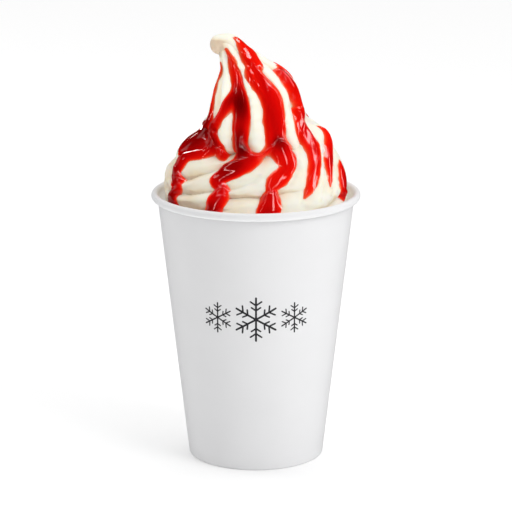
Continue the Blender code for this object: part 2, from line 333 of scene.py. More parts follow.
# %% The folds in front
FOLDS = {
    "left crease": [(126.6, -86, 2.4, 5), (127, -72, 3, 5), (129.7, -60, 3.4, 5), (134.2, -52, 3.4, 5),
        (137.6, -44, 3.2, 5), (140.3, -37, 3.2, 4.5), (142.6, -28, 3.2, 4.5), (144.6, -16, 3, 4)],
    "left flute": [(120, -74, 1.5, 4.5), (123, -62, 2.4, 4.5), (126.6, -53, 2.6, 4.5),
        (129.6, -43, 2.5, 4.5), (132.3, -33, 2.3, 4.5), (134.8, -23, 2.1, 4.5), (137.2, -13, 1.7, 4.5),
        (140, -5, 1, 4), (142.4, 0, 0.3, 3)],
    "low left flute": [(112, -76, 0.8, 4), (116, -62, 1.9, 4), (119.5, -50, 2.2, 4),
        (122.5, -38, 2, 4), (125.5, -27, 1.6, 4), (128, -18, 0.8, 3)],
    "steep fold beside the band": [(148.6, 43, 0.8, 3), (147, 41, 1.6, 4), (144.5, 35, 1.5, 4.5),
        (140.3, 28, 1.4, 4.5), (136.5, 23, 1.2, 4), (133.5, 19, 0.8, 4)],
    "fold under the right band": [(148.6, 70, 1.5, 3.5), (146, 62, 2.2, 4.5), (143, 55, 2.4, 4.5),
        (139.9, 48, 2.3, 4.5), (136.2, 42, 2, 4), (132.7, 36, 1.6, 4), (129, 30, 0.9, 3.5)],
    "third steep fold": [(146.5, 84, 1, 3.5), (143.5, 73, 1.6, 4), (140, 65, 1.7, 4),
        (135, 58, 1.5, 4), (131, 51, 1.2, 3.5), (126.5, 45, 0.7, 3)],
    "fourth steep fold": [(146.5, 100, 1.2, 3.5), (141, 89, 2, 4), (136.5, 80, 2.1, 4),
        (131.5, 73, 2, 4), (126, 67, 1.4, 3.5), (120, 62, 0.8, 3.5), (114, 59, 0.3, 3)],
    "thin fold": [(131, 61, 0.6, 2), (127, 57, 1, 2.2), (122, 53, 1.1, 2.2), (117, 51, 0.6, 2)],
    "far right fold": [(144, 118, 1.2, 4), (138, 106, 1.9, 4), (132, 96, 2, 4), (126, 87, 1.2, 4),
        (120, 80, 0.5, 4), (114, 76, 0.2, 3)],
    "far left fold": [(140.5, -128, 1, 4), (141.5, -110, 2, 5.5), (141.5, -94, 2.2, 5.5),
        (142, -80, 1.2, 4.5), (143, -70, 0.4, 3)],
    "under the left sheet": [(127, -126, 0.6, 4), (127.4, -108, 2.6, 4.8), (127.4, -94, 3.2, 5),
        (127.6, -82, 2.2, 5), (127.4, -73, 1.2, 4.5)],
    "flank valley": [(176, -92, 0.4, 3), (170, -90, 0.9, 4), (160, -88, 1, 4), (152, -88, 0.9, 4),
        (147.5, -88, 0.5, 3.5)],
}
PRESSES = [                  # way and azimuth, reach in mm and degrees, depth in mm
    (139.5, -100, 5, 28, 2.4), (148.8, 97, 2.2, 18, 1.6), (146.4, -96, 1.6, 14, -1.4),
    (143.2, -97, 1.4, 18, 1.6),
]
print(len(FOLDS), "folds,", len(PRESSES), "presses")


# %% [markdown]
# Each fold is cut along a smooth line through its places.  A steep one has the profile of two round
# ropes that touch.  A level one is sharp below, where the lower lobe tucks in, and curls in slowly
# from above.  Where two folds meet, their depths could be added, but that would dig a pit, so the
# deeper of them counts.

# %% How a fold cuts
FOLD_STEPS = 4               # pieces into which each stretch between two places is divided
FOLD_REACH = 7.0 * MM        # how far from its line a fold is looked for
LEVEL_FOLD = (0.75, 0.50)    # a fold that climbs less than this for its length curls in from above
CURL_SIDE = (-0.4, 0.4)      # how squarely above its line a point has to lie for that
CURL_POWER = 1.8
WIDTH_BELOW, WIDTH_ABOVE = 0.60, 1.35    # a fold's half-width on either side, as shares


def smooth_line(places, steps_each):
    """A cubic through given rows of numbers, slopes matched at every place."""
    places = np.array(places, dtype=float)
    steps = np.linspace(0, len(places) - 1, (len(places) - 1) * steps_each + 1)
    slopes = np.gradient(places, axis=0)
    i = np.minimum(steps.astype(int), len(places) - 2)
    return cubic((steps - i)[:, None], places[i], places[i + 1], slopes[i], slopes[i + 1])


def from_piece(points, start, end):
    """The nearest place on a straight piece, as a share t of its run, and the vector from there to
    each point: t is the part of the vector from the start that lies along the run."""
    run = end - start
    t = np.clip((points - start) @ run / (run @ run), 0.0, 1.0)
    return t, points - (start + t[..., None] * run)


def fold_profile(near_line, curl):
    """One minus a quarter circle, or, as far as it curls, nearness to the power CURL_POWER."""
    return curl * near_line**CURL_POWER + (1.0 - curl) * (1.0 - np.sqrt(1.0 - near_line**2))


def fold_cut(way, azimuth):
    """Deepest of all folds: its depth times the profile of nearness to its line."""
    points = on_envelope(way, azimuth)
    cut = np.zeros_like(way)
    for places in FOLDS.values():
        line = smooth_line(places, FOLD_STEPS)
        ways = line[:, 0] * MM
        near = (way > ways.min() - FOLD_REACH) & (way < ways.max() + FOLD_REACH)
        where, best = points[near], np.zeros(int(near.sum()))
        spots = on_envelope(ways, line[:, 1])
        for start, end, first, last in zip(spots, spots[1:], line, line[1:]):
            t, aside = from_piece(where, start, end)
            off = np.linalg.norm(aside, axis=-1)
            level = ease(*LEVEL_FOLD, abs(end[2] - start[2]) / np.linalg.norm(end - start))
            above = 0.5 + (ease(*CURL_SIDE, aside[:, 2] / (off + 1e-9)) - 0.5) * level
            depth, width = ((first[c] + t * (last[c] - first[c])) * MM for c in (2, 3))
            width = width * (WIDTH_BELOW + (WIDTH_ABOVE - WIDTH_BELOW) * above)
            near_line = np.maximum(1.0 - off / width, 0.0)
            best = np.maximum(best, depth * fold_profile(near_line, above * level))
        cut[near] = np.maximum(cut[near], best)
    return cut


print("the left crease, cut in its middle, mm:",
      round(float(fold_cut(np.array([134.2 * MM]), np.array([-52.0]))[0]) / MM, 2))


# %% [markdown]
# Real soft-serve is never as clean as a formula.  Random noise from a texture would do, but it has to
# be the same each time and fade out at the wall, so a sum of slow waves with seeded directions makes
# the unevenness: it bends the creases a little and leaves faint dents in the skin.

# %% A soft, repeatable unevenness
WANDER, WANDER_LENGTH = 0.40 * MM, 12.0 * MM    # how far the creases wander, and over what length
DENT, DENT_LENGTH = 0.10 * MM, 4.5 * MM
CALM = (0.104, 0.114, 0.176, 0.190)             # ways where the unevenness starts and ends


def unevenness(points, wavelength, seed, waves=9):
    """Sum of sine waves of about one wavelength in scattered directions, between about -1 and 1."""
    draw = np.random.default_rng(seed)
    total = np.zeros(points.shape[:-1])
    for _ in range(waves):
        direction = draw.normal(size=3)
        direction *= 2.0 * pi / (wavelength * draw.uniform(0.7, 1.5) * np.linalg.norm(direction))
        total += np.sin(points @ direction + draw.uniform(0.0, 2.0 * pi))
    return total / sqrt(waves)


def yogurt_surface(way, azimuth, dented=1.0):
    """The skin: envelope less cuts, with the creases wandering by up to half a millimetre."""
    rough = on_envelope(way, azimuth)
    uneven = between(*CALM, way)
    wander = WANDER * unevenness(rough, WANDER_LENGTH, seed=3) * uneven
    cut = np.maximum(swirl_cut(way + wander, azimuth), fold_cut(way + 0.5 * wander, azimuth))
    dents = DENT * unevenness(rough, DENT_LENGTH, seed=5) * uneven * dented
    for middle, side, reach, turn, depth in PRESSES:
        dents -= depth * MM * bell(middle, reach, way / MM) * bell(side, turn, azimuth)
    return swirl_points(way, azimuth, station_value(2, way) - cut + dents), cut


# %% [markdown]
# ## The sauce
#
# Warm fruit sauce was spooned over the peak.  It ran down the valleys, thinned to bright red where it
# crossed a ridge, pooled on the shoulders and dripped on towards the rim.  A fluid simulation could
# find its own way down, but never the same way as here, so each stream is a short list of given
# places: way in mm, azimuth in degrees, half of its width in mm.  The last three are behind.

# %% Where the sauce ran
SAUCE_STREAMS = {
    "left flank": [(177, -86, 0.7), (170.7, -86, 0.9), (165, -86, 1), (160, -85, 1.1), (155, -83, 1.5),
        (150, -81, 2.1), (146, -84, 3.2), (141.5, -86, 5.4)],
    "left sheet": [(146.3, -46, 1), (144, -56, 3.2), (141.3, -66, 5.3), (138.6, -77, 6.9),
        (137.6, -89, 6.4), (137.8, -101, 4.6), (139.5, -111, 2.4)],
    "left pool": [(148, -66, 2.4), (146.2, -59, 3.2), (144.6, -51, 3.2), (143.7, -45, 2.4),
        (143.3, -41, 1.2)],
    "left run": [(136.5, -76, 4.8), (132.5, -73, 4.3), (129.6, -71, 3.8), (128.2, -67, 3.4),
        (127.6, -63, 3), (126.4, -62, 3), (123.6, -65, 3.3), (119.5, -66, 4.6), (115, -66, 5.2),
        (111, -67, 3.8)],
    "groove": [(184.6, -14, 0.9), (181.8, -18, 1.6), (178.8, -22, 2.2), (175, -28, 2.6),
        (171, -30, 2.8), (167.2, -27, 3.3), (163.8, -26, 4.2), (160.5, -22, 4.3), (157.5, -20.5, 4.6),
        (154.5, -22, 4.4), (151.7, -22.5, 4.2), (148.7, -23, 3.9), (146.2, -20, 4.2)],
    "groove branch": [(162.8, -36, 2.2), (159.5, -45, 2.7), (156, -52.5, 3.1), (152.5, -60, 3.5),
        (149.5, -66.5, 3.3), (146.5, -67.5, 3.2), (144, -62, 3.4)],
    "front blob": [(146.6, -2, 2), (145.8, -8, 3.2), (144.8, -14, 3.9), (143.8, -19.5, 4.1),
        (142.2, -26, 4.6), (139.9, -32, 4.6), (137.6, -34.5, 3.8), (135.5, -30.5, 3.1),
        (133.9, -27, 3.3), (132.2, -27.5, 4), (130.3, -28, 4.5), (127.5, -28, 4.2), (124, -29.5, 3.9),
        (119, -30, 3.4)],
    "wide band": [(185, 58, 1.4), (182.2, 52, 3.2), (179.4, 46, 4.4), (177, 33, 4.7), (174.5, 20.5, 4),
        (172.2, 10, 3.9), (170, 8.5, 4.1), (167.8, 12, 4.3), (165.5, 17, 4.7), (162.5, 21.5, 5.1),
        (159.5, 24, 5.1), (156, 23.5, 5.3), (152.8, 22, 5.3), (149.5, 22, 5.5), (146.8, 24, 5.6),
        (145.3, 24, 5), (143.9, 23.5, 3.9), (142.4, 20.5, 3.6), (140.6, 15.5, 4), (139, 11, 3.9),
        (137.2, 8.7, 2.8), (135.5, 9.3, 2.9), (133.3, 9.6, 3.8), (131.2, 8.7, 4.8), (129, 7.6, 5.2),
        (126, 6.6, 5), (120, 6, 4.2)],
    "band toe": [(148.2, 11, 2.6), (147.6, 5, 1.9), (147, 0, 1)],
    "right band": [(172, 80, 0.8), (170.6, 77, 1.6), (168.6, 68, 3.8), (166.8, 64.5, 5),
        (164.6, 67, 4.4), (162.3, 71, 3.6), (160, 76, 3.2), (157.3, 79, 3.2), (155.2, 77, 3.7),
        (153.6, 69.5, 4.3), (152.2, 63.5, 4.6), (150.6, 62, 5), (149, 62, 5.4), (147.4, 61.5, 5.2),
        (145.7, 58.5, 4.4), (143.8, 54, 3.8), (141.8, 50.3, 3.6), (139.5, 47.3, 3.4), (137, 44.5, 3.2),
        (134.6, 41, 2.5), (132.6, 36.5, 1.6), (131, 33.5, 0.8)],
    "far right": [(145.6, 97, 0.8), (144.4, 95, 2), (143, 91, 2.9), (141.6, 85, 3.2), (140, 77, 3.2),
        (138, 70, 2.9), (136, 65.5, 2.2), (133.9, 62.5, 1.6), (132.2, 60, 1.2), (130.8, 58, 0.7)],
    "right edge": [(132.6, 86, 0.9), (130.8, 82, 2.6), (128.3, 79, 3.6), (126, 76, 4),
        (123.5, 75, 3.9), (121.4, 74.5, 3), (119.6, 74, 1.4)],
    "back left": [(177, -128, 1.4), (170, -132, 2.6), (160, -136, 3.4), (151, -138, 4.2),
        (145.5, -141, 4.6), (138, -150, 3.8), (130, -153, 2.9), (124, -150, 3.4), (116, -147, 3.6),
        (110, -146, 2.4)],
    "back": [(179, 168, 1.4), (172, 166, 3), (163, 160, 3.8), (154, 158, 3.6), (148.5, 160, 4.6),
        (143, 166, 4), (137, 174, 3.4), (131.5, 176, 2.2), (128, 176, 1.2)],
    "back right": [(172, 114, 1.2), (166, 119, 3), (158, 126, 3.6), (151, 134, 4.2), (146, 138, 4.4),
        (139, 139, 3.6), (133, 136, 2.6), (127, 130, 3), (121, 125, 3.2), (115, 122, 2)],
}
print(len(SAUCE_STREAMS), "streams of sauce")


# %% [markdown]
# Two more things are placed one by one.  A pool deepens the sauce's red: partly because the sauce
# is thicker there, so less light comes back from the yogurt, and partly as painted shade where the
# sauce lies in shade, as on the sheet on the left.  A rivulet is a thin run that cooled on top of a
# stream: it is hardly seen itself, but it bends the highlight into a fine line.

# %% Pools and rivulets
# partly painted shade: a pool deepens only the colour, not the surface
POOLS_AND_SHADE = [                    # way, azimuth, radius in mm, and how much thicker in mm
    (139, -84, 11, 3), (146, -54, 4, 1.8), (150, -80, 6, 2), (161, -23, 7, 3.4), (151, -24, 5, 2),
    (147.3, -19, 2.5, 2.2), (142, -27, 7, 1.9), (138, -33, 6, 1.5), (125, -30, 7, 2.2),
    (148.8, 22, 3.2, 1.8), (143, 20, 5, 0.8), (137, 10, 6, 0.6), (126, 6, 7, 1.5), (130, -69, 6, 1.6),
    (117, -66, 8, 3), (138, 70, 8, 1.5), (126, 76, 8, 1.5), (156, 26, 8, 0.5), (146, 162, 6, 0.9),
    (147, -140, 6, 0.9), (146, 138, 5, 0.7),
]
RIVULETS = [                 # way, azimuth, height and half-width in mm
    [(184, 26, 0, 0.8), (179.7, 17, 0.3, 0.8), (175.2, 5, 0.34, 0.8), (170.2, 2, 0.34, 0.8),
     (165.7, 6, 0.3, 0.8), (161, 15, 0, 0.8)],
    [(166.5, 28, 0, 0.9), (162.2, 31, 0.3, 0.9), (156.3, 34, 0.26, 0.9), (152, 34, 0, 0.9)],
    [(131.3, -80, 0, 1.2), (134.8, -76, 0.45, 1.3), (136.8, -73, 0.6, 1.3), (139.1, -68, 0.6, 1.2),
     (141.1, -63, 0.55, 1.1), (144, -63, 0.4, 1.1), (147, -66, 0, 1.1)],
    [(137.4, 50, 0, 0.9), (135.6, 47.5, 0.25, 0.9), (133.8, 44.5, 0, 0.9)],
    [(141.6, 25, 0, 1), (140.4, 21.5, 0.28, 1), (139.2, 17, 0, 1)],
]
STREAM_STEPS = 5             # pieces into which each stretch between two places is divided


def pool_and_shade_depth(points):
    """Extra depth, partly painted shade: one bell curve exp(-(distance / radius)^2) for each pool."""
    extra = np.zeros(points.shape[:-1])
    for way, azimuth, radius, more in POOLS_AND_SHADE:
        middle = on_envelope(np.array([way * MM]), np.array([float(azimuth)]))[0]
        extra += more * MM * bell(0.0, radius * MM, np.linalg.norm(points - middle, axis=-1))
    return extra


def rivulets(points):
    """Height times one less the squared distance in half-widths, squared, along each thin run."""
    height = np.zeros(points.shape[:-1])
    for places in RIVULETS:
        line = smooth_line(places, STREAM_STEPS)
        spots = on_envelope(line[:, 0] * MM, line[:, 1])
        for start, end, first, last in zip(spots, spots[1:], line, line[1:]):
            t, aside = from_piece(points, start, end)
            tall, wide = ((first[c] + t * (last[c] - first[c])) * MM for c in (2, 3))
            off = np.linalg.norm(aside, axis=-1) / wide
            height = np.maximum(height, tall * np.maximum(1.0 - off**2, 0.0) ** 2)
    return height


print(len(POOLS_AND_SHADE), "pools,", len(RIVULETS), "rivulets")


# %% [markdown]
# To know how deep inside a stream a point lies, measure its distance to the stream's centre line and
# take that from the half-width.  The result is positive inside, zero on the edge and negative
# outside.  The largest value over all streams would join them with a sharp notch, so a soft maximum
# is taken, and two streams run into each other as liquids do.  A stream is also arched across.

# %% How far inside the sauce a point is
JOIN = 0.8 * MM              # how softly two streams run into each other
ARCH_WIDEST = 4.5 * MM       # wider streams don't stand any higher
STREAM_REACH = 9.0 * MM      # room for a stream's half-width and edge beyond its line
LINE_SMOOTHING = 4           # passes that round the bends of a listed line
WOBBLE, WOBBLE_LENGTH = 0.16 * MM, 7.0 * MM     # unevenness of the edges


def stream_line(places):
    """Points and half-widths along one stream."""
    line = smooth_line(places, STREAM_STEPS)
    for _ in range(LINE_SMOOTHING):
        line[1:-1] = 0.25 * line[:-2] + 0.5 * line[1:-1] + 0.25 * line[2:]
    return on_envelope(line[:, 0] * MM, line[:, 1]), line[:, 2] * MM


def inside_stream(points, line, half_width):
    """Largest of half-width less distance over the stream's pieces, and the half-width there."""
    best, width = np.full(points.shape[:-1], -1.0), np.ones(points.shape[:-1])
    for start, end, wide, next_wide in zip(line, line[1:], half_width, half_width[1:]):
        t, aside = from_piece(points, start, end)
        here = wide + t * (next_wide - wide)
        inside = here - np.linalg.norm(aside, axis=-1)
        width = np.where(inside > best, here, width)
        best = np.maximum(best, inside)
    return best, width


def inside_sauce(way, azimuth):
    """Soft maximum over all streams with slightly wandering edges, and the arch across a stream."""
    points = on_envelope(way, azimuth)
    total, arch = np.zeros_like(way), np.zeros_like(way)
    for places in SAUCE_STREAMS.values():
        line, half_width = stream_line(places)
        ways = [place[0] * MM for place in places]
        near = (way > min(ways) - STREAM_REACH) & (way < max(ways) + STREAM_REACH)
        inside, width = inside_stream(points[near], line, half_width)
        weight = np.exp(np.clip(inside / JOIN, -40.0, 40.0))
        share = np.clip(inside / width, 0.0, 1.0)
        total[near] += weight
        arch[near] += weight * share * (2.0 - share) * np.minimum(width, ARCH_WIDEST)
    total = np.maximum(total, 1e-9)
    wobble = WOBBLE * unevenness(points, WOBBLE_LENGTH, seed=11)
    return JOIN * np.log(total) + wobble, arch / total


# %% [markdown]
# Below its edge the yogurt touches the cup, so the cup's cone comes next.  Its sizes are those of the
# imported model: the board's thickness, the clearance that the solids keep, and the rolled rim.

# %% The cone that holds the yogurt
BOARD = 0.0005               # thickness of the paper board
GAP = 0.0003                 # clearance between neighbouring solids
RIM_RADIUS = 0.0450          # outside of the rolled rim
CUP_HEIGHT = 0.1170          # floor to the top of the rolled rim
FOOT_RADIUS = 0.0293         # outside of the foot
WALL_TOP_RADIUS = 0.0425     # outside of the wall just under the roll
ROLL_WIDTH = 0.0030          # rolled rim, measured across
ROLL_HEIGHT = 0.0034         # rolled rim, measured upwards
BASE_HEIGHT = 0.0090         # floor to the middle of the raised disc


def wall_middle(height):
    """The cone: radius grows in a straight line from the foot to the roll."""
    foot = FOOT_RADIUS - BOARD / 2.0
    top = WALL_TOP_RADIUS - BOARD / 2.0
    return foot + (top - foot) * height / (CUP_HEIGHT - ROLL_HEIGHT / 2.0)


def turned(radius, height, turn):
    """A point that goes round the axis: (radius sin turn, -radius cos turn, height)."""
    return np.stack(np.broadcast_arrays(radius * np.sin(turn), -radius * np.cos(turn), height), axis=-1)


print("inside radius at the yogurt's edge, mm:", round(wall_middle(FILL_EDGE) / MM, 1))


# %% [markdown]
# The yogurt's skin is a fine grid.  Below its edge it follows the wall with the solid's clearance, and
# the tip ends in a small dome.  A modifier could subdivide the solid instead, but it would round the
# creases away.  Under the sauce the skin sinks a little, because the warm sauce melts its own bed.

# %% The yogurt as a fine skin
YOGURT_ROWS, YOGURT_COLUMNS = 300, 300
LOW_ROWS = 11                # rows down the wall
BED_DEPTH = 0.50 * MM        # the warm sauce sinks this far into the skin
BED_EDGE = (0.1 * MM, 1.0 * MM)
DOME_ROWS = 10
DOME_LENGTH = 0.92           # length of the rounded tip, in radii


def dome(last, middle, upward, reach):
    """Rings shrinking by a cosine while they move up by a sine, and the point at the top."""
    bend = (np.arange(1, DOME_ROWS) / DOME_ROWS * pi / 2.0)[:, None, None]
    rings = middle + upward * reach * np.sin(bend) + (last - middle) * np.cos(bend)
    return rings, middle + upward * reach


azimuth_line = np.linspace(-180.0, 180.0, YOGURT_COLUMNS, endpoint=False)
way_line = np.linspace(FILL_EDGE, STATION_WAY[-1], YOGURT_ROWS)
way, azimuth = np.meshgrid(way_line, azimuth_line, indexing="ij")
skin, cut = yogurt_surface(way, azimuth)
near_sauce, _ = inside_sauce(way, azimuth)
bed = BED_DEPTH * ease(*BED_EDGE, near_sauce)
skin = skin - surface_normals(on_envelope(way, azimuth)) * bed[..., None]
tip_offset, tip_height, tip_radius, tip_lean = SWIRL_STATIONS[-1]
tip_centre = np.array([tip_offset, 0.0, tip_height])
tip_up = np.array([-sin(radians(tip_lean)), 0.0, cos(radians(tip_lean))])
tip_rings, tip = dome(skin[-1], tip_centre, tip_up, DOME_LENGTH * tip_radius)
bottom = BASE_HEIGHT + BOARD / 2.0 + GAP
low_heights = np.linspace(bottom, FILL_EDGE, LOW_ROWS + 1)[:-1, None]
low_radii = wall_middle(low_heights) - BOARD / 2.0 - GAP
low_rings = turned(low_radii, low_heights, np.radians(azimuth_line)[None, :])
rings = np.concatenate([low_rings, skin, tip_rings])
yogurt_points = np.concatenate([rings.reshape(-1, 3), [[0.0, 0.0, bottom]], [tip]])
yogurt = add_mesh("yogurt_swirl", yogurt_points, grid_quads(len(rings), YOGURT_COLUMNS, True),
                  pole_caps(len(rings), YOGURT_COLUMNS))


# %% [markdown]
# The material will read numbers that are kept on the skin's points.  They could be painted on, but
# worked out they stay true when a size changes.  Two helpers come first: an average over the points
# round about, and a list of one number for every point of the mesh, from wall to tip.

# %% Averages, and numbers for every point
def blurred(values, rows, columns):
    """Average over a window with cosine weights: liquid doesn't keep a sharp crease."""
    for axis, reach in ((0, rows), (1, columns)):
        weights = 1.0 + np.cos(np.arange(-reach, reach + 1) * pi / (reach + 1))
        padded = np.concatenate([values[:reach], values, values[-reach:]]) if axis == 0 else values
        total = sum(w * np.roll(padded, k, axis=axis)
                    for w, k in zip(weights, range(-reach, reach + 1))) / weights.sum()
        values = total[reach:-reach] if axis == 0 else total
    return values


def on_every_point(values, below, tip_values):
    """The grid's values, with one value for the rings below it and others for the tip's rings."""
    return np.concatenate([np.full(LOW_ROWS * YOGURT_COLUMNS, below), values.ravel(),
                           np.broadcast_to(tip_values, tip_rings.shape[:2]).ravel(),
                           [below, np.mean(tip_values)]])


print(len(tip_rings), "rings in the tip,", LOW_ROWS, "down the wall")


# %% [markdown]
# Three numbers go with every point of the skin, for the material to read: how near it is to the
# sauce, because the red soaks a little way into the white; how deep it lies in a hollow; and how
# much painted shade it gets.  The painted shade is a warm beige where the skin turns down, in wide
# hollows, in soft random patches low down, on the left of the lower coils, and most of all under the
# hooked tip.  Beside the wall on the right painted light takes it off again, for the light that the
# white board throws back, so it is paler there.

# %% How near the sauce, how hollow, and how much painted shade
# painted shade: how far each of these darkens the yogurt to a warm beige
DOWN_SHADE, TURNED_DOWN = 0.95, (0.25, -0.35)   # where the skin turns down, by its normal's height
TIP_SHADE, TURNED_OUT = 1.60, (0.90, 0.25)      # how much more on the hooked tip
ON_TIP = (0.184, 0.190)
HOLLOW_SHADE, WIDE_HOLLOW = 0.56, (0.6 * MM, 3.0 * MM)
HOLLOW_BLUR = (4, 8)         # rows and columns over which a hollow is averaged
PATCH_SHADE, PATCH_LENGTH, PATCH_RUN = 0.42, 16.0 * MM, (0.150, 0.128)
HIDDEN_SHADE = 0.6           # down the wall, out of sight
FAR_FROM_SAUCE = -20.0       # in mm, for the same rings
LEFT_SHADE, LEFT_SIDE, LEFT_RUN = 0.14, (-50.0, 38.0), (0.150, 0.140)       # the shaded side
# painted light: the painted shade is taken off beside the wall on the right, for the board's bounce
PAINTED_WALL_BOUNCE, BY_WALL, BY_WALL_RUN = 0.70, (62.0, 22.0), (0.131, 0.124)        # taken off there


def shade_by_facing(normal_z, on_tip):
    """Painted shade rises as the normal turns down, and on the tip as soon as it leaves the upright."""
    return DOWN_SHADE * ease(*TURNED_DOWN, normal_z) + TIP_SHADE * ease(*TURNED_OUT, normal_z) * on_tip


out_of_tip = tip_rings - tip_centre
tip_normal_z = out_of_tip[..., 2] / np.linalg.norm(out_of_tip, axis=-1)
wide_hollow = ease(*WIDE_HOLLOW, blurred(cut, *HOLLOW_BLUR))
shade_patches = np.maximum(0.5 + 0.5 * unevenness(skin, PATCH_LENGTH, seed=31), 0.0) * ease(*PATCH_RUN, way)
shaded_left = bell(*LEFT_SIDE, azimuth) * ease(*LEFT_RUN, way)
# painted light beside the wall on the right, where the board throws light back
wall_bounce_mask = bell(*BY_WALL, azimuth) * ease(*BY_WALL_RUN, way)
# painted shade: beige where the skin turns down, in hollows, in low patches, on the left and under the
# tip
painted_shade = (shade_by_facing(surface_normals(skin)[..., 2], ease(*ON_TIP, way)) + HOLLOW_SHADE * wide_hollow
         + PATCH_SHADE * shade_patches + LEFT_SHADE * shaded_left - PAINTED_WALL_BOUNCE * wall_bounce_mask)
painted_shade_everywhere = np.clip(on_every_point(painted_shade, HIDDEN_SHADE, shade_by_facing(tip_normal_z, 1.0)), 0.0, 1.0)
set_attribute(yogurt, "to_sauce_mm", on_every_point(near_sauce / MM, FAR_FROM_SAUCE, FAR_FROM_SAUCE))
set_attribute(yogurt, "hollow_mm", on_every_point(cut / MM, 0.0, 0.0))
set_attribute(yogurt, "painted_shade", painted_shade_everywhere)
print("mean cream", round(float(painted_shade.mean()), 2), "- deepest cut, mm", round(float(cut.max() / MM), 1))


# %% [markdown]
# The sauce is a second skin over the same formulas.  It could be a fluid that is poured and frozen,
# but a layer whose thickness is known everywhere is easier to shape and to colour.  Inside a stream
# it stands proud by its thickness and levels out the flutes below it, so it looks deeper and darker
# in the valleys.  Its edge is steep and round, as the edge of any thick drop, and then dives under
# the yogurt's skin, so the visible edge is a clean line.

# %% The sauce's upper side
FILM = 0.95 * MM             # thickness on a ridge
PROUD = 0.38 * MM            # how much of that stands above the skin; the rest lies in its bed
PROUD_VARIES, PROUD_LENGTH = 0.15, 14.0 * MM    # the share by which that varies, and over what length
ARCH = 0.17                  # height of the arch across a stream, as a share of its half-width
EDGE_LENGTH = 0.75 * MM      # distance over which the edge rises to most of the film
LEVELLING = 0.85             # share of a hollow that the sauce fills
LEVEL_SEEN = 0.32            # share of a filled hollow that darkens it: light enters from its sides
LEVEL_START = 2.6 * MM       # distance from the edge at which it fills a hollow to the full
CHANNEL = 0.35               # less of it in the deepest valley, which the sauce only runs through
CHANNEL_WIDTH, CHANNEL_START = 13.0, (0.148, 0.153)
CHANNEL_FLAT = 0.6           # and less of an arch
SMOOTHING = (-0.2 * MM, 0.6 * MM)        # distances inside over which small creases are bridged
LOWEST = 0.3                 # share of its stand that the sauce keeps at least
LEVEL_BLUR, FINE_BLUR, FLOW_BLUR = (3, 8), (2, 4), (7, 14)      # rows and columns of each average
POOL_START = 1.5 * MM        # distance from the edge at which a pool has its full depth
UNDERSIDE = 0.9 * MM         # how far the hidden underside lies below the yogurt's skin


def sauce_surface(way, azimuth):
    """The sauce's upper side, its hidden underside, how far inside it is, and its depth, which the
    pools deepen with painted shade.  Height is the filled hollow, plus edge rise times stand, plus
    the creases it bridges."""
    inside, arch = inside_sauce(way, azimuth)
    skin, cut = yogurt_surface(way, azimuth, dented=0.0)
    points = on_envelope(way, azimuth)
    well_in = ease(0.0, LEVEL_START, inside)
    channel = bell(VALLEY_AZIMUTH, CHANNEL_WIDTH, azimuth) * ease(*CHANNEL_START, way)
    level = (LEVELLING - CHANNEL * channel) * well_in * blurred(cut, *LEVEL_BLUR)
    rise = np.where(inside > 0.0, 1.0 - np.exp(-np.maximum(inside, 0.0) / EDGE_LENGTH),
                    inside / EDGE_LENGTH)
    arch = ARCH * arch * (1.0 - CHANNEL_FLAT * channel)
    varied = 1.0 + PROUD_VARIES * unevenness(points, PROUD_LENGTH, seed=21)
    stand = PROUD * varied + arch + rivulets(points)
    bridged = cut - blurred(cut, *FINE_BLUR) * (1.0 - well_in) - blurred(cut, *FLOW_BLUR) * well_in
    height = level + rise * stand + bridged * ease(*SMOOTHING, inside)
    height = np.maximum(height, np.minimum(rise, LOWEST) * PROUD)
    # the pools' share of the depth is partly painted shade
    depth = (rise * (FILM + arch) + LEVEL_SEEN * level
             + pool_and_shade_depth(points) * ease(0.0, POOL_START, inside))
    outward = surface_normals(points)
    return skin + outward * height[..., None], skin - outward * UNDERSIDE, inside, depth


print("a film of", FILM / MM, "mm, of which", PROUD / MM, "stand above the skin")


# %% [markdown]
# Of that skin only the part inside a stream is wanted.  A Boolean could cut it out, but it is slow and
# leaves slivers, so whole cells of the grid are kept or dropped, and their jagged edge lies out of
# sight under the yogurt's skin.  A lower copy, turned over, and a band round the edge close the layer,
# because a real liquid has a volume and a thin open sheet has none.

# %% The sauce as a closed layer
SAUCE_ROWS, SAUCE_COLUMNS = 220, 480
SAUCE_LOW, SAUCE_HIGH = 0.108, 0.188
TUCK = -0.40 * MM            # how far outside its edge the sheet is still kept


def layer_faces(kept, columns):
    """Quads of the kept cells on top, the same cells turned over below, and a band round the edge."""
    rows_kept, columns_kept = np.nonzero(kept)
    after = (columns_kept + 1) % columns
    a, b = rows_kept * columns + columns_kept, rows_kept * columns + after
    top = np.stack([a, b, b + columns, a + columns], axis=1)
    count = (kept.shape[0] + 1) * columns
    edges = np.concatenate([top[:, [0, 1]], top[:, [1, 2]], top[:, [2, 3]], top[:, [3, 0]]])
    keys = edges.min(axis=1) * count + edges.max(axis=1)
    _, first, times = np.unique(keys, return_index=True, return_counts=True)
    rim = edges[first[times == 1]]
    side = np.stack([rim[:, 1], rim[:, 0], rim[:, 0] + count, rim[:, 1] + count], axis=1)
    return np.concatenate([top, top[:, ::-1] + count, side])


sauce_ways = np.linspace(SAUCE_LOW, SAUCE_HIGH, SAUCE_ROWS)
sauce_azimuths = np.linspace(-180.0, 180.0, SAUCE_COLUMNS, endpoint=False)
top, under, inside, depth = sauce_surface(*np.meshgrid(sauce_ways, sauce_azimuths, indexing="ij"))
wet = inside > TUCK
wet_next = np.roll(wet, -1, axis=1)
kept = wet[:-1] | wet[1:] | wet_next[:-1] | wet_next[1:]
faces = layer_faces(kept, SAUCE_COLUMNS)
used, renumbered = np.unique(faces, return_inverse=True)
both = np.concatenate([top.reshape(-1, 3), under.reshape(-1, 3)])[used]
sauce = add_mesh("fruit_sauce", both, renumbered.reshape(faces.shape))
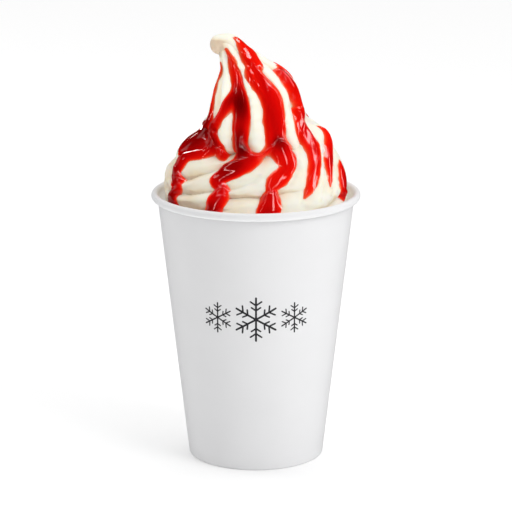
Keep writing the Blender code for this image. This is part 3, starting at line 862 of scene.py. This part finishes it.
# the depth, with the pools' painted shade in it, for the material
depth_and_shade_mm = np.concatenate([depth.ravel(), depth.ravel()])[used] / MM
set_attribute(sauce, "depth_and_shade_mm", depth_and_shade_mm)
print("sauce depth, mm, up to", round(float(depth_and_shade_mm.max()), 2))


# %% [markdown]
# ## The paper cup
#
# A paper cup is one fan of coated board wrapped into a cone, lapped and sealed up the back, folded
# under at the foot and curled outwards at the rim.  It could be a cylinder with a Solidify modifier
# and a torus for the rim, but then the board would not run through the curl.  So the board's middle
# line is drawn once, as a profile, and both faces are half a thickness away from it.

# %% The profile of the wall
ROLL_SWEEP = 270.0           # degrees that the board curls round from the inside of the rim
SKIRT_INSET = BOARD + GAP
FOLD_INSET = 2.0 * SKIRT_INSET
FOLD_TOP = 0.0072            # upper edge of the board folded up inside the skirt
FOLD_BEND = 0.0005           # bend radius of the folds, at mid-thickness
WALL_STEPS, ROLL_STEPS, BEND_STEPS = 60, 30, 5


def arc(centre, radius_r, radius_z, start, end, steps):
    """Points (r, z) on an ellipse about a centre, angles in degrees from the outward direction."""
    a = np.radians(np.linspace(start, end, steps + 1))
    return np.stack([centre[0] + radius_r * np.cos(a), centre[1] + radius_z * np.sin(a)], axis=1)


def board_profile(line):
    """Both faces of the board: each point moved along the mitre of its neighbours' normals."""
    steps = np.diff(line, axis=0)
    normals = np.stack([-steps[:, 1], steps[:, 0]], axis=1)
    normals /= np.linalg.norm(steps, axis=1)[:, None]
    mitre = np.concatenate([normals[:1], normals]) + np.concatenate([normals, normals[-1:]])
    across = mitre * BOARD / np.sum(mitre**2, axis=1)[:, None]
    return np.concatenate([line + across, (line - across)[::-1]])


def wall_line():
    """Middle of the board: inner fold, two bends of the foot, the cone, the curl of the rim."""
    inner = wall_middle(0.0) - FOLD_INSET
    outer = wall_middle(FOLD_BEND)
    half = BOARD / 2.0
    fold = half + FOLD_BEND
    roll_centre = (RIM_RADIUS - ROLL_WIDTH / 2.0, CUP_HEIGHT - ROLL_HEIGHT / 2.0)
    heights = np.linspace(fold + FOLD_BEND, roll_centre[1], WALL_STEPS)[1:-1]
    return np.concatenate([
        [(wall_middle(FOLD_TOP) - FOLD_INSET, FOLD_TOP)],
        arc((inner + FOLD_BEND, fold), FOLD_BEND, FOLD_BEND, 180.0, 270.0, BEND_STEPS),
        arc((outer - FOLD_BEND, fold), FOLD_BEND, FOLD_BEND, 270.0, 360.0, BEND_STEPS),
        np.stack([wall_middle(heights), heights], axis=1),
        arc(roll_centre, ROLL_WIDTH / 2.0 - half, ROLL_HEIGHT / 2.0 - half,
            180.0, 180.0 - ROLL_SWEEP, ROLL_STEPS)])


wall_profile = board_profile(wall_line())
print(len(wall_profile), "points round the board's profile")


# %% [markdown]
# Turning the profile gives the cup, and the lap makes it real: over a strip at the back the board
# lies double, so its outer face stands out by part of a thickness and the roll is a little fatter
# there.  The columns are crowded round the two edges of the lap, so that they stay crisp.  A real
# cup isn't perfectly round either, so three very slow waves go round it.

# %% The wall, turned, with its lapped seam
CUP_COLUMNS = 240
SEAM_AZIMUTH = 152.0         # degrees from the front, at the back of the cup
SEAM_HALF = 5.0              # half of the lap, in degrees
SEAM_EDGE = 0.35             # degrees over which the board's cut edge steps down
SEAM_STEP = 0.22 * MM
LAP_START = (0.002, 0.004)   # heights over which the lap rises out of the fold
WAVE, WAVE_COUNT, WAVE_PHASE = 0.06 * MM, 3.0, 40.0
WAVE_START = (0.01, 0.05)
GLOW_TOP = (0.116, 0.112)  # heights where the inner face begins, under the roll


def seam_columns():
    """Even columns round the cup, with extra ones at both edges of the lap."""
    even = np.linspace(-180.0, 180.0, CUP_COLUMNS, endpoint=False)
    edges = [SEAM_AZIMUTH + side * SEAM_HALF + nudge * SEAM_EDGE
             for side in (-1, 1) for nudge in (-1.0, -0.5, 0.0, 0.5, 1.0)]
    clear = even[np.min(np.abs(even[:, None] - np.array(edges)[None, :]), axis=1) > SEAM_EDGE]
    return np.sort(np.concatenate([clear, edges]))


def board_wave(turn, height):
    """WAVE_COUNT sine waves round the cup, fading out towards the foot."""
    return WAVE * np.sin(WAVE_COUNT * turn + radians(WAVE_PHASE)) * ease(*WAVE_START, height)


wall_azimuths = seam_columns()
wall_turns = np.radians(wall_azimuths)[None, :]
in_lap = ease(SEAM_HALF + SEAM_EDGE, SEAM_HALF - SEAM_EDGE, np.abs(wall_azimuths - SEAM_AZIMUTH))
row_count, columns = len(wall_profile), len(wall_azimuths)
wall_radii, wall_heights = wall_profile[:, :1], wall_profile[:, 1:]
outside_row = (np.arange(row_count) >= row_count // 2)[:, None]
seam = SEAM_STEP * ease(*LAP_START, wall_heights) * outside_row * in_lap[None, :]
wall_points = turned(wall_radii + seam + board_wave(wall_turns, wall_heights), wall_heights, wall_turns)
here = np.arange(columns)
after = (here + 1) % columns
last_row = (row_count - 1) * columns
closing = np.stack([here + last_row, after + last_row, after, here], axis=1)
wall_quads = np.concatenate([grid_quads(row_count, columns, True), closing])
wall = add_mesh("paper_wall", wall_points, wall_quads)
# painted light: this marks the inner face, which the board's material makes glow and paints whiter
inside_face = ease(*GLOW_TOP, wall_heights) * (1.0 - outside_row)
set_attribute(wall, "inner_face_glow", np.repeat(inside_face, columns))


# %% [markdown]
# The base is a stamped disc: it sits high in the foot, its edge turns down into the skirt that the
# wall's fold grips, and a shallow ring is pressed into it to keep it from drumming.  It is the same
# board, so the same profile function makes it, closed with a pole on each side.

# %% The base
BASE_COLUMNS = 160
BASE_ROWS = 70
SKIRT_BOTTOM = 0.0013        # lower edge of the skirt
BASE_BEND = 0.0010           # bend radius where the disc turns into its skirt
PRESSED_RING = 0.0190        # radius of the pressed ring
RING_WIDTH = 0.0016
RING_DEPTH = 0.0005
POLE_RADIUS = 0.0008         # of the last ring before the pole


def base_line():
    """Middle of the board from the skirt's edge, round the bend, along the disc to the centre."""
    corner = wall_middle(BASE_HEIGHT) - SKIRT_INSET - BASE_BEND
    bend = arc((corner, BASE_HEIGHT - BASE_BEND), BASE_BEND, BASE_BEND, 0.0, 90.0, BEND_STEPS + 2)
    skirt = np.array([(wall_middle(SKIRT_BOTTOM) - SKIRT_INSET, SKIRT_BOTTOM)])
    r = np.linspace(corner, POLE_RADIUS, BASE_ROWS)[1:]
    ring = RING_DEPTH * bell(PRESSED_RING, RING_WIDTH, r)
    return np.concatenate([skirt, bend, np.stack([r, BASE_HEIGHT - ring], axis=1)])


base_profile = board_profile(base_line())
half_rows = len(base_profile) // 2
base_profile = np.concatenate([base_profile[:half_rows][::-1], base_profile[half_rows:][::-1]])
base_turns = np.radians(np.linspace(-180.0, 180.0, BASE_COLUMNS, endpoint=False))[None, :]
base_rings = turned(base_profile[:, :1], base_profile[:, 1:], base_turns)
middles = [[0.0, 0.0, base_profile[0, 1]], [0.0, 0.0, base_profile[-1, 1]]]
base = add_mesh("paper_base", np.concatenate([base_rings.reshape(-1, 3), middles]),
                grid_quads(len(base_profile), BASE_COLUMNS, True),
                pole_caps(len(base_profile), BASE_COLUMNS))


# %% [markdown]
# The front carries a plain decoration in black ink: a row of snowflakes.  It could be an image on the
# board, but then it would be only as sharp as its dots.  Here each flake is six arms with small side
# twigs, and every stroke is a round-ended strip laid on the cone a hair above the board.

# %% The printed snowflakes
PRINT_HEIGHT = 0.0697
INK_LIFT = 0.03 * MM
FLAKES = [(-16.8, 0.0, 6.6), (0.0, 0.0, 9.6), (16.8, 0.0, 6.6)]   # across, up, radius, in mm
TWIGS = ((0.42, 0.24), (0.66, 0.30))     # where a pair leaves the arm, and its length, as shares
ARM_WIDTH, ARM_GROWTH = 0.12, 0.075      # in mm, and per mm of the flake's radius
TWIG_ANGLE = 55.0
TWIG_WIDTH = 0.85            # of the arm's width
STROKE_STEPS = 10
CAP_STEPS = 3
SHARPEST = 0.02              # half-width, in mm, that an end keeps


def stroke(start, end, width):
    """A strip with round ends: rows run along it, and the half-width ends as a half circle."""
    length = np.linalg.norm(end - start)
    along = (end - start) / length
    across = np.array([-along[1], along[0]])
    bend = np.linspace(0.0, pi / 2.0, CAP_STEPS + 1)
    shares = np.linspace(0.0, 1.0, STROKE_STEPS + 1)[1:-1]
    run = np.concatenate([-np.sin(bend[::-1]) * width / 2.0, shares * length,
                          length + np.sin(bend) * width / 2.0])
    half = width / 2.0 * np.concatenate([np.cos(bend[::-1]), np.ones_like(shares), np.cos(bend)])
    middle = start + run[:, None] * along
    aside = across * np.maximum(half, SHARPEST)[:, None]
    return np.stack([middle - aside, middle, middle + aside], axis=1)


def flake_strokes(across, up, size):
    """Six arms at sixty degrees, each with two pairs of twigs."""
    strokes = []
    centre = np.array([across, up])
    thick = ARM_WIDTH + ARM_GROWTH * size
    for arm in range(6):
        angle = radians(90.0 + 60.0 * arm)
        out = np.array([cos(angle), sin(angle)])
        strokes.append(stroke(centre, centre + out * size, thick))
        for share, length in TWIGS:
            root = centre + out * size * share
            for side in (-1.0, 1.0):
                lean = angle + side * radians(TWIG_ANGLE)
                twig = np.array([cos(lean), sin(lean)]) * size * length
                strokes.append(stroke(root, root + twig, thick * TWIG_WIDTH))
    return strokes


def on_cone(flat):
    """A flat drawing in mm wrapped on the wall: across becomes an angle, up becomes height."""
    height = PRINT_HEIGHT + flat[..., 1] * MM
    radius = wall_middle(height) + BOARD / 2.0 + INK_LIFT
    turn = flat[..., 0] * MM / radius
    return turned(radius + board_wave(turn, height), height, turn)


strokes = np.array([shape for flake in FLAKES for shape in flake_strokes(*flake)])
stroke_rows = strokes.shape[1]
ink_quads = np.concatenate([grid_quads(stroke_rows, 3, False, start=k * stroke_rows * 3)
                            for k in range(len(strokes))])
ink = add_mesh("printed_snowflakes", on_cone(strokes), ink_quads[:, ::-1])


# %% [markdown]
# ## Finishes
#
# ** Frozen yogurt** is ice, milk and air, pressed through a nozzle: white, with a painted shade of
# warm beige in the hollows and on the parts turned from the light, and moist enough to shine softly.
# A plain white would look like plaster, so subsurface scattering lets light into it.  A very fine
# grain breaks the shine; ice crystals are finer still, and are drawn as coarse as they need to show.
# Close to the sauce the white turns a shade pink, and in the deepest grooves beside it brown-red,
# partly a sauce stain and partly painted shade.

# %% Soft-serve yogurt
CREAM_CLOUD = 6.25 * MM      # size of the faint lighter patches
ICE_GRAIN = 1.11 * MM


def soft_serve():
    """Soft-serve yogurt: painted shade by attribute, tinted near the sauce, over a scattering shader."""
    material, tree, output = new_material("soft_serve_yogurt_moist")
    place = add_node(tree, "ShaderNodeTexCoord").outputs["Object"]
    hollow, share, to_sauce = (add_node(tree, "ShaderNodeAttribute", attribute_name=name).outputs["Fac"]
                               for name in ("hollow_mm", "painted_shade", "to_sauce_mm"))
    # painted shade: the attribute takes the white through warm beige to a tan
    painted_shade = add_node(tree, "ShaderNodeValToRGB", {"Fac": share})
    painted_shade.color_ramp.elements[0].color = linear("#fdf7eb")
    painted_shade.color_ramp.elements[1].color = linear("#cba983")
    painted_shade.color_ramp.elements.new(0.75).color = linear("#e8d2aa")
    cloud = add_node(tree, "ShaderNodeTexNoise", {"Vector": place, "Scale": 1.0 / CREAM_CLOUD,
                                                  "Detail": 3.0})
    tint = add_node(tree, "ShaderNodeMapRange", {"Value": to_sauce, "From Min": -1.3, "From Max": 0.1,
                                                 "To Max": 0.16}, interpolation_type="SMOOTHERSTEP")
    deep = add_node(tree, "ShaderNodeMapRange", {"Value": hollow, "From Min": 2.6, "From Max": 5.0,
                                                 "To Max": 0.75}, interpolation_type="SMOOTHSTEP")
    close = add_node(tree, "ShaderNodeMapRange", {"Value": to_sauce, "From Min": -4.5,
                                                  "From Max": -0.5}, interpolation_type="SMOOTHSTEP")
    # partly sauce stain, partly painted shade: brown-red where a deep hollow lies close to the sauce
    stain_and_shade = add_node(tree, "ShaderNodeMath", {0: deep.outputs[0], 1: close.outputs[0]},
                       operation="MULTIPLY")
    colour = painted_shade.outputs["Color"]
    for factor, blend in ((cloud.outputs["Fac"], "#f9f3e4"), (tint.outputs[0], "#f2a48c"),
                          (stain_and_shade.outputs[0], "#b4633a")):
        mixed = add_node(tree, "ShaderNodeMix", {"Factor": factor, "A": colour, "B": linear(blend)},
                         data_type="RGBA")
        colour = mixed.outputs["Result"]
    grain = add_node(tree, "ShaderNodeTexNoise", {"Vector": place, "Scale": 1.0 / ICE_GRAIN,
                                                  "Detail": 4.0})
    dimple = add_node(tree, "ShaderNodeBump", {"Height": grain.outputs["Fac"], "Strength": 0.12,
                                               "Distance": 0.15 * MM})
    shader = add_node(tree, "ShaderNodeBsdfPrincipled", {
        "Base Color": colour, "Roughness": 0.38, "Normal": dimple.outputs["Normal"], "IOR": 1.36,
        "Subsurface Weight": 0.75, "Subsurface Radius": (1.0, 0.85, 0.6), "Subsurface Scale": 0.9 * MM})
    tree.links.new(shader.outputs["BSDF"], output.inputs["Surface"])
    return material


yogurt.data.materials.append(soft_serve())
print("yogurt:", yogurt.data.materials[0].name)


# %% [markdown]
# ** Fruit sauce** is sugar syrup boiled down with red juice. It has a mirror-like skin. It could
# be see-through, but light that is followed through a thin layer is slow and grainy.  So the colour
# comes from a number on each point, its depth: where it is a film the white below shows through as
# orange-red, at a millimetre it is a full red, and in a filled valley almost the colour of wine.  In
# the pools that number also holds painted shade, so where the sauce lies in shade it is a deeper red.

# %% Red fruit sauce
DEPTH_SHOWN = 6.0            # mm of sauce at the dark end of the scale
SYRUP_COLOURS = [(0.0, "#ff9a78"), (0.06, "#fc5f3a"), (0.14, "#fb3018"), (0.24, "#f51608"),
                 (0.42, "#dc0806"), (0.64, "#a80304"), (0.95, "#6c0103")]
FLOW_RIPPLE = 11.1 * MM      # size of the faint ripples that it flowed in


def red_syrup():
    """Red fruit syrup: a colour scale over its depth, under a sharp gloss with a faint ripple."""
    material, tree, output = new_material("red_fruit_syrup_glossy")
    place = add_node(tree, "ShaderNodeTexCoord").outputs["Object"]
    # depth, with the pools' painted shade in it
    depth = add_node(tree, "ShaderNodeAttribute", attribute_name="depth_and_shade_mm")
    share = add_node(tree, "ShaderNodeMapRange", {"Value": depth.outputs["Fac"],
                                                  "From Max": DEPTH_SHOWN})
    ramp = add_node(tree, "ShaderNodeValToRGB", {"Fac": share.outputs[0]})
    ramp.color_ramp.elements[0].position = SYRUP_COLOURS[0][0]
    ramp.color_ramp.elements[1].position = SYRUP_COLOURS[-1][0]
    for position, _ in SYRUP_COLOURS[1:-1]:
        ramp.color_ramp.elements.new(position)
    for element, (_, colour) in zip(ramp.color_ramp.elements, SYRUP_COLOURS):
        element.color = linear(colour)
    flow = add_node(tree, "ShaderNodeTexNoise", {"Vector": place, "Scale": 1.0 / FLOW_RIPPLE,
                                                 "Detail": 1.0})
    ripple = add_node(tree, "ShaderNodeBump", {"Height": flow.outputs["Fac"], "Strength": 0.08,
                                               "Distance": 0.6 * MM})
    shader = add_node(tree, "ShaderNodeBsdfPrincipled", {
        "Base Color": ramp.outputs["Color"], "Roughness": 0.05, "Normal": ripple.outputs["Normal"],
        "IOR": 1.42, "Specular Tint": linear("#ffe0de"), "Subsurface Weight": 0.25,
        "Subsurface Radius": (1.0, 0.10, 0.05), "Subsurface Scale": 1.5 * MM})
    tree.links.new(shader.outputs["BSDF"], output.inputs["Surface"])
    return material


sauce.data.materials.append(red_syrup())
print("sauce:", sauce.data.materials[0].name)


# %% [markdown]
# **Cup board** is bleached paper pulp with a thin film of plastic melted on: white and satin, with
# fibres that only just show.  Real fibres are hair-fine, and are drawn as coarse as they need to show.
# Board is thin enough to let some light through, and here that light is painted: the inner face,
# marked by a number on its points, glows a little and is painted a brighter white instead of lying
# in the dark.  The base is the same stock, a little greyer.

# %% Coated paper board
FIBRE = 2.38 * MM
PULP_CLOUD = 18.2 * MM       # size of the faint clouds in the board
# painted light: how strongly the inner face glows
PAINTED_GLOW_STRENGTH = 0.13


def cup_board(name, colour, shade, roughness):
    """Coated board: two whites in faint clouds, a fibre relief, and painted light on the inner face."""
    material, tree, output = new_material(name)
    place = add_node(tree, "ShaderNodeTexCoord").outputs["Object"]
    inner_face_glow = add_node(tree, "ShaderNodeAttribute", attribute_name="inner_face_glow").outputs["Fac"]
    fibre = add_node(tree, "ShaderNodeTexNoise", {"Vector": place, "Scale": 1.0 / FIBRE, "Detail": 5.0,
                                                  "Roughness": 0.6})
    cloud = add_node(tree, "ShaderNodeTexNoise", {"Vector": place, "Scale": 1.0 / PULP_CLOUD,
                                                  "Detail": 2.0})
    # painted light: the inner face glows, and the tone below paints it a brighter white
    painted_glow = add_node(tree, "ShaderNodeMix", {"Factor": inner_face_glow, "A": linear("#000000"),
                                               "B": linear("#e6eefc")}, data_type="RGBA")
    pulp = add_node(tree, "ShaderNodeMix", {"Factor": cloud.outputs["Fac"], "A": linear(colour),
                                            "B": linear(shade)}, data_type="RGBA")
    tone = add_node(tree, "ShaderNodeMix", {"Factor": inner_face_glow, "A": pulp.outputs["Result"],
                                            "B": linear("#fefefc")}, data_type="RGBA")
    relief = add_node(tree, "ShaderNodeBump", {"Height": fibre.outputs["Fac"], "Strength": 0.10,
                                               "Distance": 0.1 * MM})
    shader = add_node(tree, "ShaderNodeBsdfPrincipled", {
        "Base Color": tone.outputs["Result"], "Roughness": roughness, "IOR": 1.48,
        "Normal": relief.outputs["Normal"], "Emission Color": painted_glow.outputs["Result"],
        "Emission Strength": PAINTED_GLOW_STRENGTH})
    tree.links.new(shader.outputs["BSDF"], output.inputs["Surface"])
    return material


wall.data.materials.append(cup_board("coated_paper_board_white", "#f1f1f2", "#ececed", 0.42))
base.data.materials.append(cup_board("base_paper_board", "#e9e9e8", "#e2e2e0", 0.55))
print("cup:", wall.data.materials[0].name, "and", base.data.materials[0].name)


# %% [markdown]
# **Printing ink** is a film of pigment that soaks into the board as it dries, so it is matt and not
# quite black.  One flat dark colour would look like a hole in the white, so fine specks, where the ink
# took less well, lighten it a little.

# %% Black ink
INK_SPECK = 0.667 * MM


def black_ink():
    """Printing ink soaked into the board: near black, with fine specks where it is thinner."""
    material, tree, output = new_material("black_printing_ink_matt")
    place = add_node(tree, "ShaderNodeTexCoord").outputs["Object"]
    speck = add_node(tree, "ShaderNodeTexNoise", {"Vector": place, "Scale": 1.0 / INK_SPECK})
    tone = add_node(tree, "ShaderNodeMix", {"Factor": speck.outputs["Fac"], "A": linear("#26262a"),
                                            "B": linear("#3a3a3e")}, data_type="RGBA")
    shader = add_node(tree, "ShaderNodeBsdfPrincipled", {
        "Base Color": tone.outputs["Result"], "Roughness": 0.55})
    tree.links.new(shader.outputs["BSDF"], output.inputs["Surface"])
    return material


ink.data.materials.append(black_ink())
print("print:", ink.data.materials[0].name)


# %% [markdown]
# Each piece rides on the model's one body, and the solids whose place three of them take are
# hidden.  The sauce and the print have no node of their own: they ride along.

# %% Join the pieces to the frame
for piece, slot in ((yogurt, "frozen_yogurt"), (sauce, "fruit_sauce"), (wall, "paper_board"),
                    (base, "base_board"), (ink, "paper_board")):
    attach(piece, "root")
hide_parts("yogurt")
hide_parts("cup_wall")
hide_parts("cup_base")
print("joined: five pieces, three of them in the place of solids")


# %% [markdown]
# ## The studio
#
# A white thing on white needs its shape drawn by soft shade.  One lamp could do it, but its shadows
# would be hard, so the cup stands on a white sweep under a bright dome, and a grey flag, high on the
# left in front, takes some of the dome's light away there.  The floor is so wide that its far edge
# lies at the horizon.

# %% Floor and dome
FLOOR_SIZE = 30.0
FLOOR_GLOW = 0.13            # white paper sweeps are lit from below as well
SKY_LEVEL = 0.28             # brightness of the dome at eye level
SKY_TOP = 1.58               # and straight above
FLAG = 0.36                  # what the flag leaves of it
FLAG_SIDE = (-0.45, -0.65, 0.61)
FLAG_START = 0.46            # cosine of the angle from there at which the flag's shade begins

floor_points = np.array([(-1, -1, 0), (1, -1, 0), (1, 1, 0), (-1, 1, 0)]) * FLOOR_SIZE / 2.0
floor = add_mesh("studio_floor", floor_points, [(0, 1, 2, 3)])
floor_material, floor_tree, floor_output = new_material("white_paper_sweep")
floor_shader = add_node(floor_tree, "ShaderNodeBsdfPrincipled", {
    "Base Color": linear("#f3f3f3"), "Roughness": 0.7, "Specular IOR Level": 0.1,
    "Emission Color": linear("#ffffff"), "Emission Strength": FLOOR_GLOW})
floor_tree.links.new(floor_shader.outputs["BSDF"], floor_output.inputs["Surface"])
floor.data.materials.append(floor_material)
floor.visible_glossy = False

world = bpy.data.worlds.new("white_dome")
bpy.context.scene.world = world
world.use_nodes = True
world.cycles_visibility.glossy = False
sky_tree = world.node_tree
sky_place = add_node(sky_tree, "ShaderNodeTexCoord").outputs["Generated"]
sky_height = add_node(sky_tree, "ShaderNodeSeparateXYZ", {"Vector": sky_place})
sky_strength = add_node(sky_tree, "ShaderNodeMapRange", {
    "Value": sky_height.outputs["Z"], "To Min": SKY_LEVEL, "To Max": SKY_TOP})
towards_flag = add_node(sky_tree, "ShaderNodeVectorMath", {0: sky_place, 1: FLAG_SIDE},
                        operation="DOT_PRODUCT")
flag_shade = add_node(sky_tree, "ShaderNodeMapRange", {
    "Value": towards_flag.outputs["Value"], "From Min": FLAG_START, "To Min": 1.0, "To Max": FLAG})
sky = add_node(sky_tree, "ShaderNodeMath", {0: sky_strength.outputs[0], 1: flag_shade.outputs[0]},
               operation="MULTIPLY")
background = sky_tree.nodes["Background"]
background.inputs["Strength"].default_value = 1.0
sky_tree.links.new(sky.outputs[0], background.inputs["Color"])
print("dome from", SKY_LEVEL, "at eye level to", SKY_TOP, "above")


# %% [markdown]
# Two softboxes shape the forms: the key high on the right in front, and a weaker fill from the left
# behind.  Small bare lamps would be simpler, but their shadows would be hard.

# %% Softboxes
SOFTBOXES = [                # place, aim, width and height, power
    ("key_right", (0.80, -0.66, 0.84), (0.0, 0.0, 0.13), (0.60, 0.60), 4.2),
    ("fill_left", (-1.00, 0.45, 0.55), (0.0, 0.0, 0.10), (0.50, 0.80), 2.0),
]


def add_lamp(name, kind, place, aim, power, only=None):
    """A lamp at a place, turned to face a point; with `only`, one piece alone takes its light."""
    light = bpy.data.lights.new(name, kind)
    light.energy = power
    holder = bpy.data.objects.new(name, light)
    bpy.context.scene.collection.objects.link(holder)
    holder.location = place
    holder.rotation_euler = (Vector(aim) - Vector(place)).to_track_quat("-Z", "Y").to_euler()
    if only:
        holder.light_linking.receiver_collection = only
    return holder


def only_on(piece):
    """A collection that holds one piece, for a lamp to be linked to."""
    collection = bpy.data.collections.new("lit_alone_" + piece.name)
    collection.objects.link(piece)
    return collection


def add_softbox(name, place, aim, size, power, only=None):
    """A rectangular area lamp."""
    softbox = add_lamp(name, "AREA", place, aim, power, only)
    softbox.data.shape = "RECTANGLE"
    softbox.data.size, softbox.data.size_y = size
    return softbox


for softbox_settings in SOFTBOXES:
    add_softbox(*softbox_settings).visible_glossy = False
print(len(SOFTBOXES), "softboxes")


# %% [markdown]
# The sauce is a mirror, so what it mirrors is what one sees of it.  Bright patches could be painted on
# it, but they would stay put as the view moves.  So its highlights come from cards that only show as
# reflections in the sauce, a trick of food studios: a tall narrow one makes a long thin glint, a
# square one a window.

# %% Reflection cards
CARD_AIM = (0.0, 0.0, 0.15)
CARDS = [                    # place, width and height, power
    ("card_right", (1.15, 0.10, 0.72), (0.26, 1.10), 11.0),
    ("card_top", (0.35, -0.14, 1.38), (0.42, 0.42), 9.0),
    ("card_spark", (0.00, 0.30, 1.40), (0.10, 0.10), 1.2),
    ("card_front", (0.56, -0.84, 0.95), (0.15, 0.60), 3.5),
    ("card_left", (-0.66, -0.66, 0.95), (0.07, 1.20), 4.0),
    ("card_high_left", (-0.62, 0.36, 1.25), (0.50, 0.50), 3.2),
    ("card_low_left", (-1.00, 0.56, 0.45), (0.80, 0.80), 1.2),
    ("card_back", (-0.30, 1.20, 0.80), (0.30, 0.90), 11.0),
]

only_sauce = only_on(sauce)
for name, place, size, power in CARDS:
    add_softbox(name, place, CARD_AIM, size, power, only_sauce).visible_diffuse = False
print(len(CARDS), "reflection cards")


# %% [markdown]
# The white ridges of the peak are the brightest thing on the swirl.  A stronger key would lift them,
# but everything else with them.  A snoot, a lamp with a tube that narrows its beam, lights them alone.

# %% Snoot on the peak
SNOOT_PLACE, SNOOT_AIM = (-0.42, -0.95, 0.50), (-0.010, -0.010, 0.162)
SNOOT_BEAM = 3.4             # degrees
SNOOT_POWER = 15.0

snoot = add_lamp("snoot_on_peak", "SPOT", SNOOT_PLACE, SNOOT_AIM, SNOOT_POWER, only_on(yogurt))
snoot.visible_glossy = False
snoot.data.spot_size = radians(SNOOT_BEAM)
snoot.data.spot_blend = 1.0
snoot.data.shadow_soft_size = 0.02
print("a beam of", SNOOT_BEAM, "degrees")


# %% [markdown]
# A long lens from a metre away keeps the cup's sides nearly straight, as a product picture wants, and
# looks down just enough to show the far rim.  The Standard view keeps the whites white.

# %% Camera
CAMERA_DISTANCE = 1.0832     # level distance from the cup's axis
CAMERA_HEIGHT = 0.3627
CAMERA_PITCH = 14.235        # degrees below level
camera = bpy.data.cameras.new("camera")
camera.sensor_width = 36.0
camera.lens = 181.3
camera_object = bpy.data.objects.new("camera", camera)
bpy.context.scene.collection.objects.link(camera_object)
camera_object.location = (0.0, -CAMERA_DISTANCE, CAMERA_HEIGHT)
camera_object.rotation_euler = (radians(90.0 - CAMERA_PITCH), 0.0, 0.0)
bpy.context.scene.camera = camera_object
bpy.context.scene.view_settings.view_transform = "Standard"
print("lens", camera.lens, "mm")
